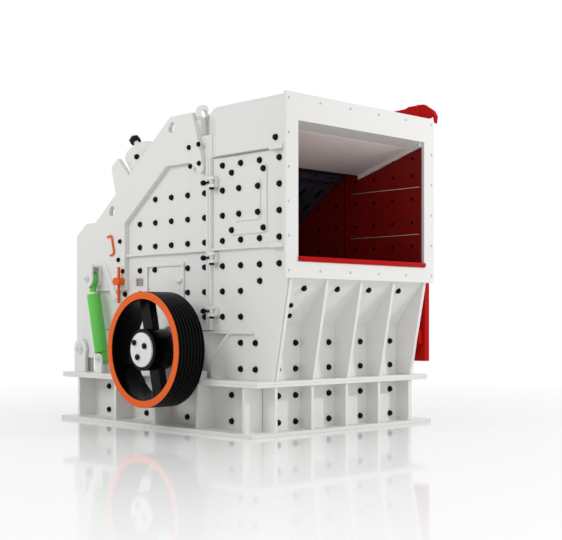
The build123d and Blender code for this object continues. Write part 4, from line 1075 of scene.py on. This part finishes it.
# weld beads along the feet and backs of the ribs
bead = {
    "radius": 0.006,
    "facets": 8,
    "ribShort": 0.005,  # ends this far inside the rib's outer edge
    "chuteShort": (0.006, 0.0075),
}
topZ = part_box("base_top_flange")[0][2]
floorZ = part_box("base_flange")[1][2]
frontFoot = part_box("front_wall")[0][2]
ribHalf = baseRib["thick"] / 2
beads = bmesh.new()


def weldBead(start, end):
    start, end = Vector(start), Vector(end)
    along = end - start
    drum(beads, start, along.normalized(), bead["radius"], along.length, bead["facets"])


def endRibY(index, edge):
    return bayPitch * (index - endGrid["bays"] / 2) + edge * ribHalf


for side in sides:
    wall, outer = side * baseY, side * (ribHigh[1] - bead["ribShort"])
    for index in range(baseRib["bays"] + 1):
        for edge in sides:
            x = ribLow[0] + ribHalf + ribPitch * index + edge * ribHalf
            weldBead((x, wall, floorZ), (x, wall, topZ))
            weldBead((x, wall, floorZ), (x, outer, floorZ))
    weldBead((-baseX, wall, floorZ), (baseX, wall, floorZ))
for end in sides:
    wall, outer = end * baseX, end * (endRibs[1][0] - bead["ribShort"])
    for index in range(endGrid["bays"] + 1):
        for edge in sides:
            y = endRibY(index, edge)
            weldBead((wall, y, floorZ), (wall, y, topZ))
            weldBead((wall, y, floorZ), (outer, y, floorZ))
    weldBead((wall, -baseY, floorZ), (wall, baseY, floorZ))
chuteTopX = chuteX[1] - bead["chuteShort"][0]
chuteTopZ = endGrid["top"] - bead["chuteShort"][1]
for index in range(1, endGrid["bays"]):
    for edge in sides:
        y = endRibY(index, edge)
        weldBead((chuteX[0], y, frontFoot), (chuteX[0], y, endGrid["bend"]))
        weldBead((chuteX[0], y, endGrid["bend"]), (chuteTopX, y, chuteTopZ))
finishPiece("weldBeads", beads, finishes["body_paint"], "frame")
print("welds laid")


# pale floor with a soft mirror, fading to white around the object
stageLook = {
    "floorColour": (0.86, 0.86, 0.86),
    "floorShade": 0.985,
    "floorCloud": (0.4, 2.0),  # noise: scale, detail
    "floorRough": 0.05,
    "size": 60.0,
    "fade": (1.5, 7.0),
    "fadeStart": 0.10,
    "sky": 0.60,
}


def whiteTo(finish):
    # white to the camera and in reflections, dimmer as a light
    rays = finish.add("ShaderNodeLightPath", outlet="Is Camera Ray")
    seen = rays + rays.beside("Is Glossy Ray") + rays.beside("Is Transmission Ray")
    return stageLook["sky"] + seen * (1 - stageLook["sky"])


def paleFloor():
    material, finish, shader = newMaterial("paleFloor")
    place = finish.place()
    cloud = finish.noise(place, *stageLook["floorCloud"])
    colour = stageLook["floorColour"]
    shaded = [channel * stageLook["floorShade"] for channel in colour]
    base = finish.blendColour(cloud, colour, shaded)
    finish.feed(shader, {"Base Color": base, "Roughness": stageLook["floorRough"]})
    away = finish.add("ShaderNodeVectorMath", {0: place}, {"operation": "LENGTH"}, outlet="Value")
    start = stageLook["fadeStart"]
    fade = start + finish.between(away, *stageLook["fade"], 1 - start)
    glow = finish.add("ShaderNodeEmission", {"Strength": whiteTo(finish)})
    surface = Wire(finish.tree, shader.outputs[0])
    mixed = finish.add("ShaderNodeMixShader", {0: fade, 1: surface, 2: glow})
    finish.feed(finish.tree.nodes["Material Output"], {"Surface": mixed})
    return material


floorBm = bmesh.new()
bmesh.ops.create_grid(floorBm, x_segments=1, y_segments=1, size=stageLook["size"])
floorMesh = bpy.data.meshes.new("floor")
floorBm.to_mesh(floorMesh)
floorBm.free()
floorMesh.materials.append(paleFloor())
floor = bpy.data.objects.new("floor", floorMesh)
scene.collection.objects.link(floor)


# square soft boxes: place, the point they face, size and power
softBoxes = {
    "keyLight": ((7.5, 1.0, 6.5), (0.3, 0.0, 1.2), 4.0, 30.0),
    "sideLight": ((6.8, 4.5, 4.6), (1.2, 0.0, 0.8), 0.5, 212.0),
    "lowLight": ((6.5, -2.0, 0.6), (1.2, 0.0, 1.6), 2.5, 42.0),
    "fillLight": ((-1.6, -7.8, 5.2), (0.0, 0.0, 1.2), 3.2, 186.0),
}
for name, (place, target, size, power) in softBoxes.items():
    data = bpy.data.lights.new(name, "AREA")
    data.shape = "SQUARE"
    data.size = size
    data.energy = power
    lamp = bpy.data.objects.new(name, data)
    lamp.location = place
    lamp.visible_glossy = False  # else the floor mirrors it
    lamp.rotation_euler = (Vector(target) - Vector(place)).to_track_quat("-Z", "Y").to_euler()
    scene.collection.objects.link(lamp)

world = bpy.data.worlds.new("studio")
scene.world = world
world.use_nodes = True
sky = Finish(world.node_tree)
sky.feed(world.node_tree.nodes["Background"], {
    "Color": (1.0, 1.0, 1.0, 1.0),
    "Strength": whiteTo(sky),
})

# level camera; focal length, frame, horizon and half height in the photo's pixels
camera = {
    "place": (7.5946, -6.8753, 0.9085),
    "turn": 45.9,
    "focal": 1120.1,
    "frame": 562.0,
    "horizon": 320.4,
    "half": 270.0,
    "sensor": 36.0,
}
cameraData = bpy.data.cameras.new("photoCamera")
cameraData.sensor_fit = "HORIZONTAL"
cameraData.sensor_width = camera["sensor"]
cameraData.lens = camera["focal"] * camera["sensor"] / camera["frame"]
cameraData.shift_y = (camera["horizon"] - camera["half"]) / camera["frame"]
photoCamera = bpy.data.objects.new("photoCamera", cameraData)
photoCamera.location = camera["place"]
photoCamera.rotation_euler = (math.radians(90), 0, math.radians(camera["turn"]))
scene.collection.objects.link(photoCamera)
scene.camera = photoCamera
scene.view_settings.view_transform = "Standard"
print("stage set")
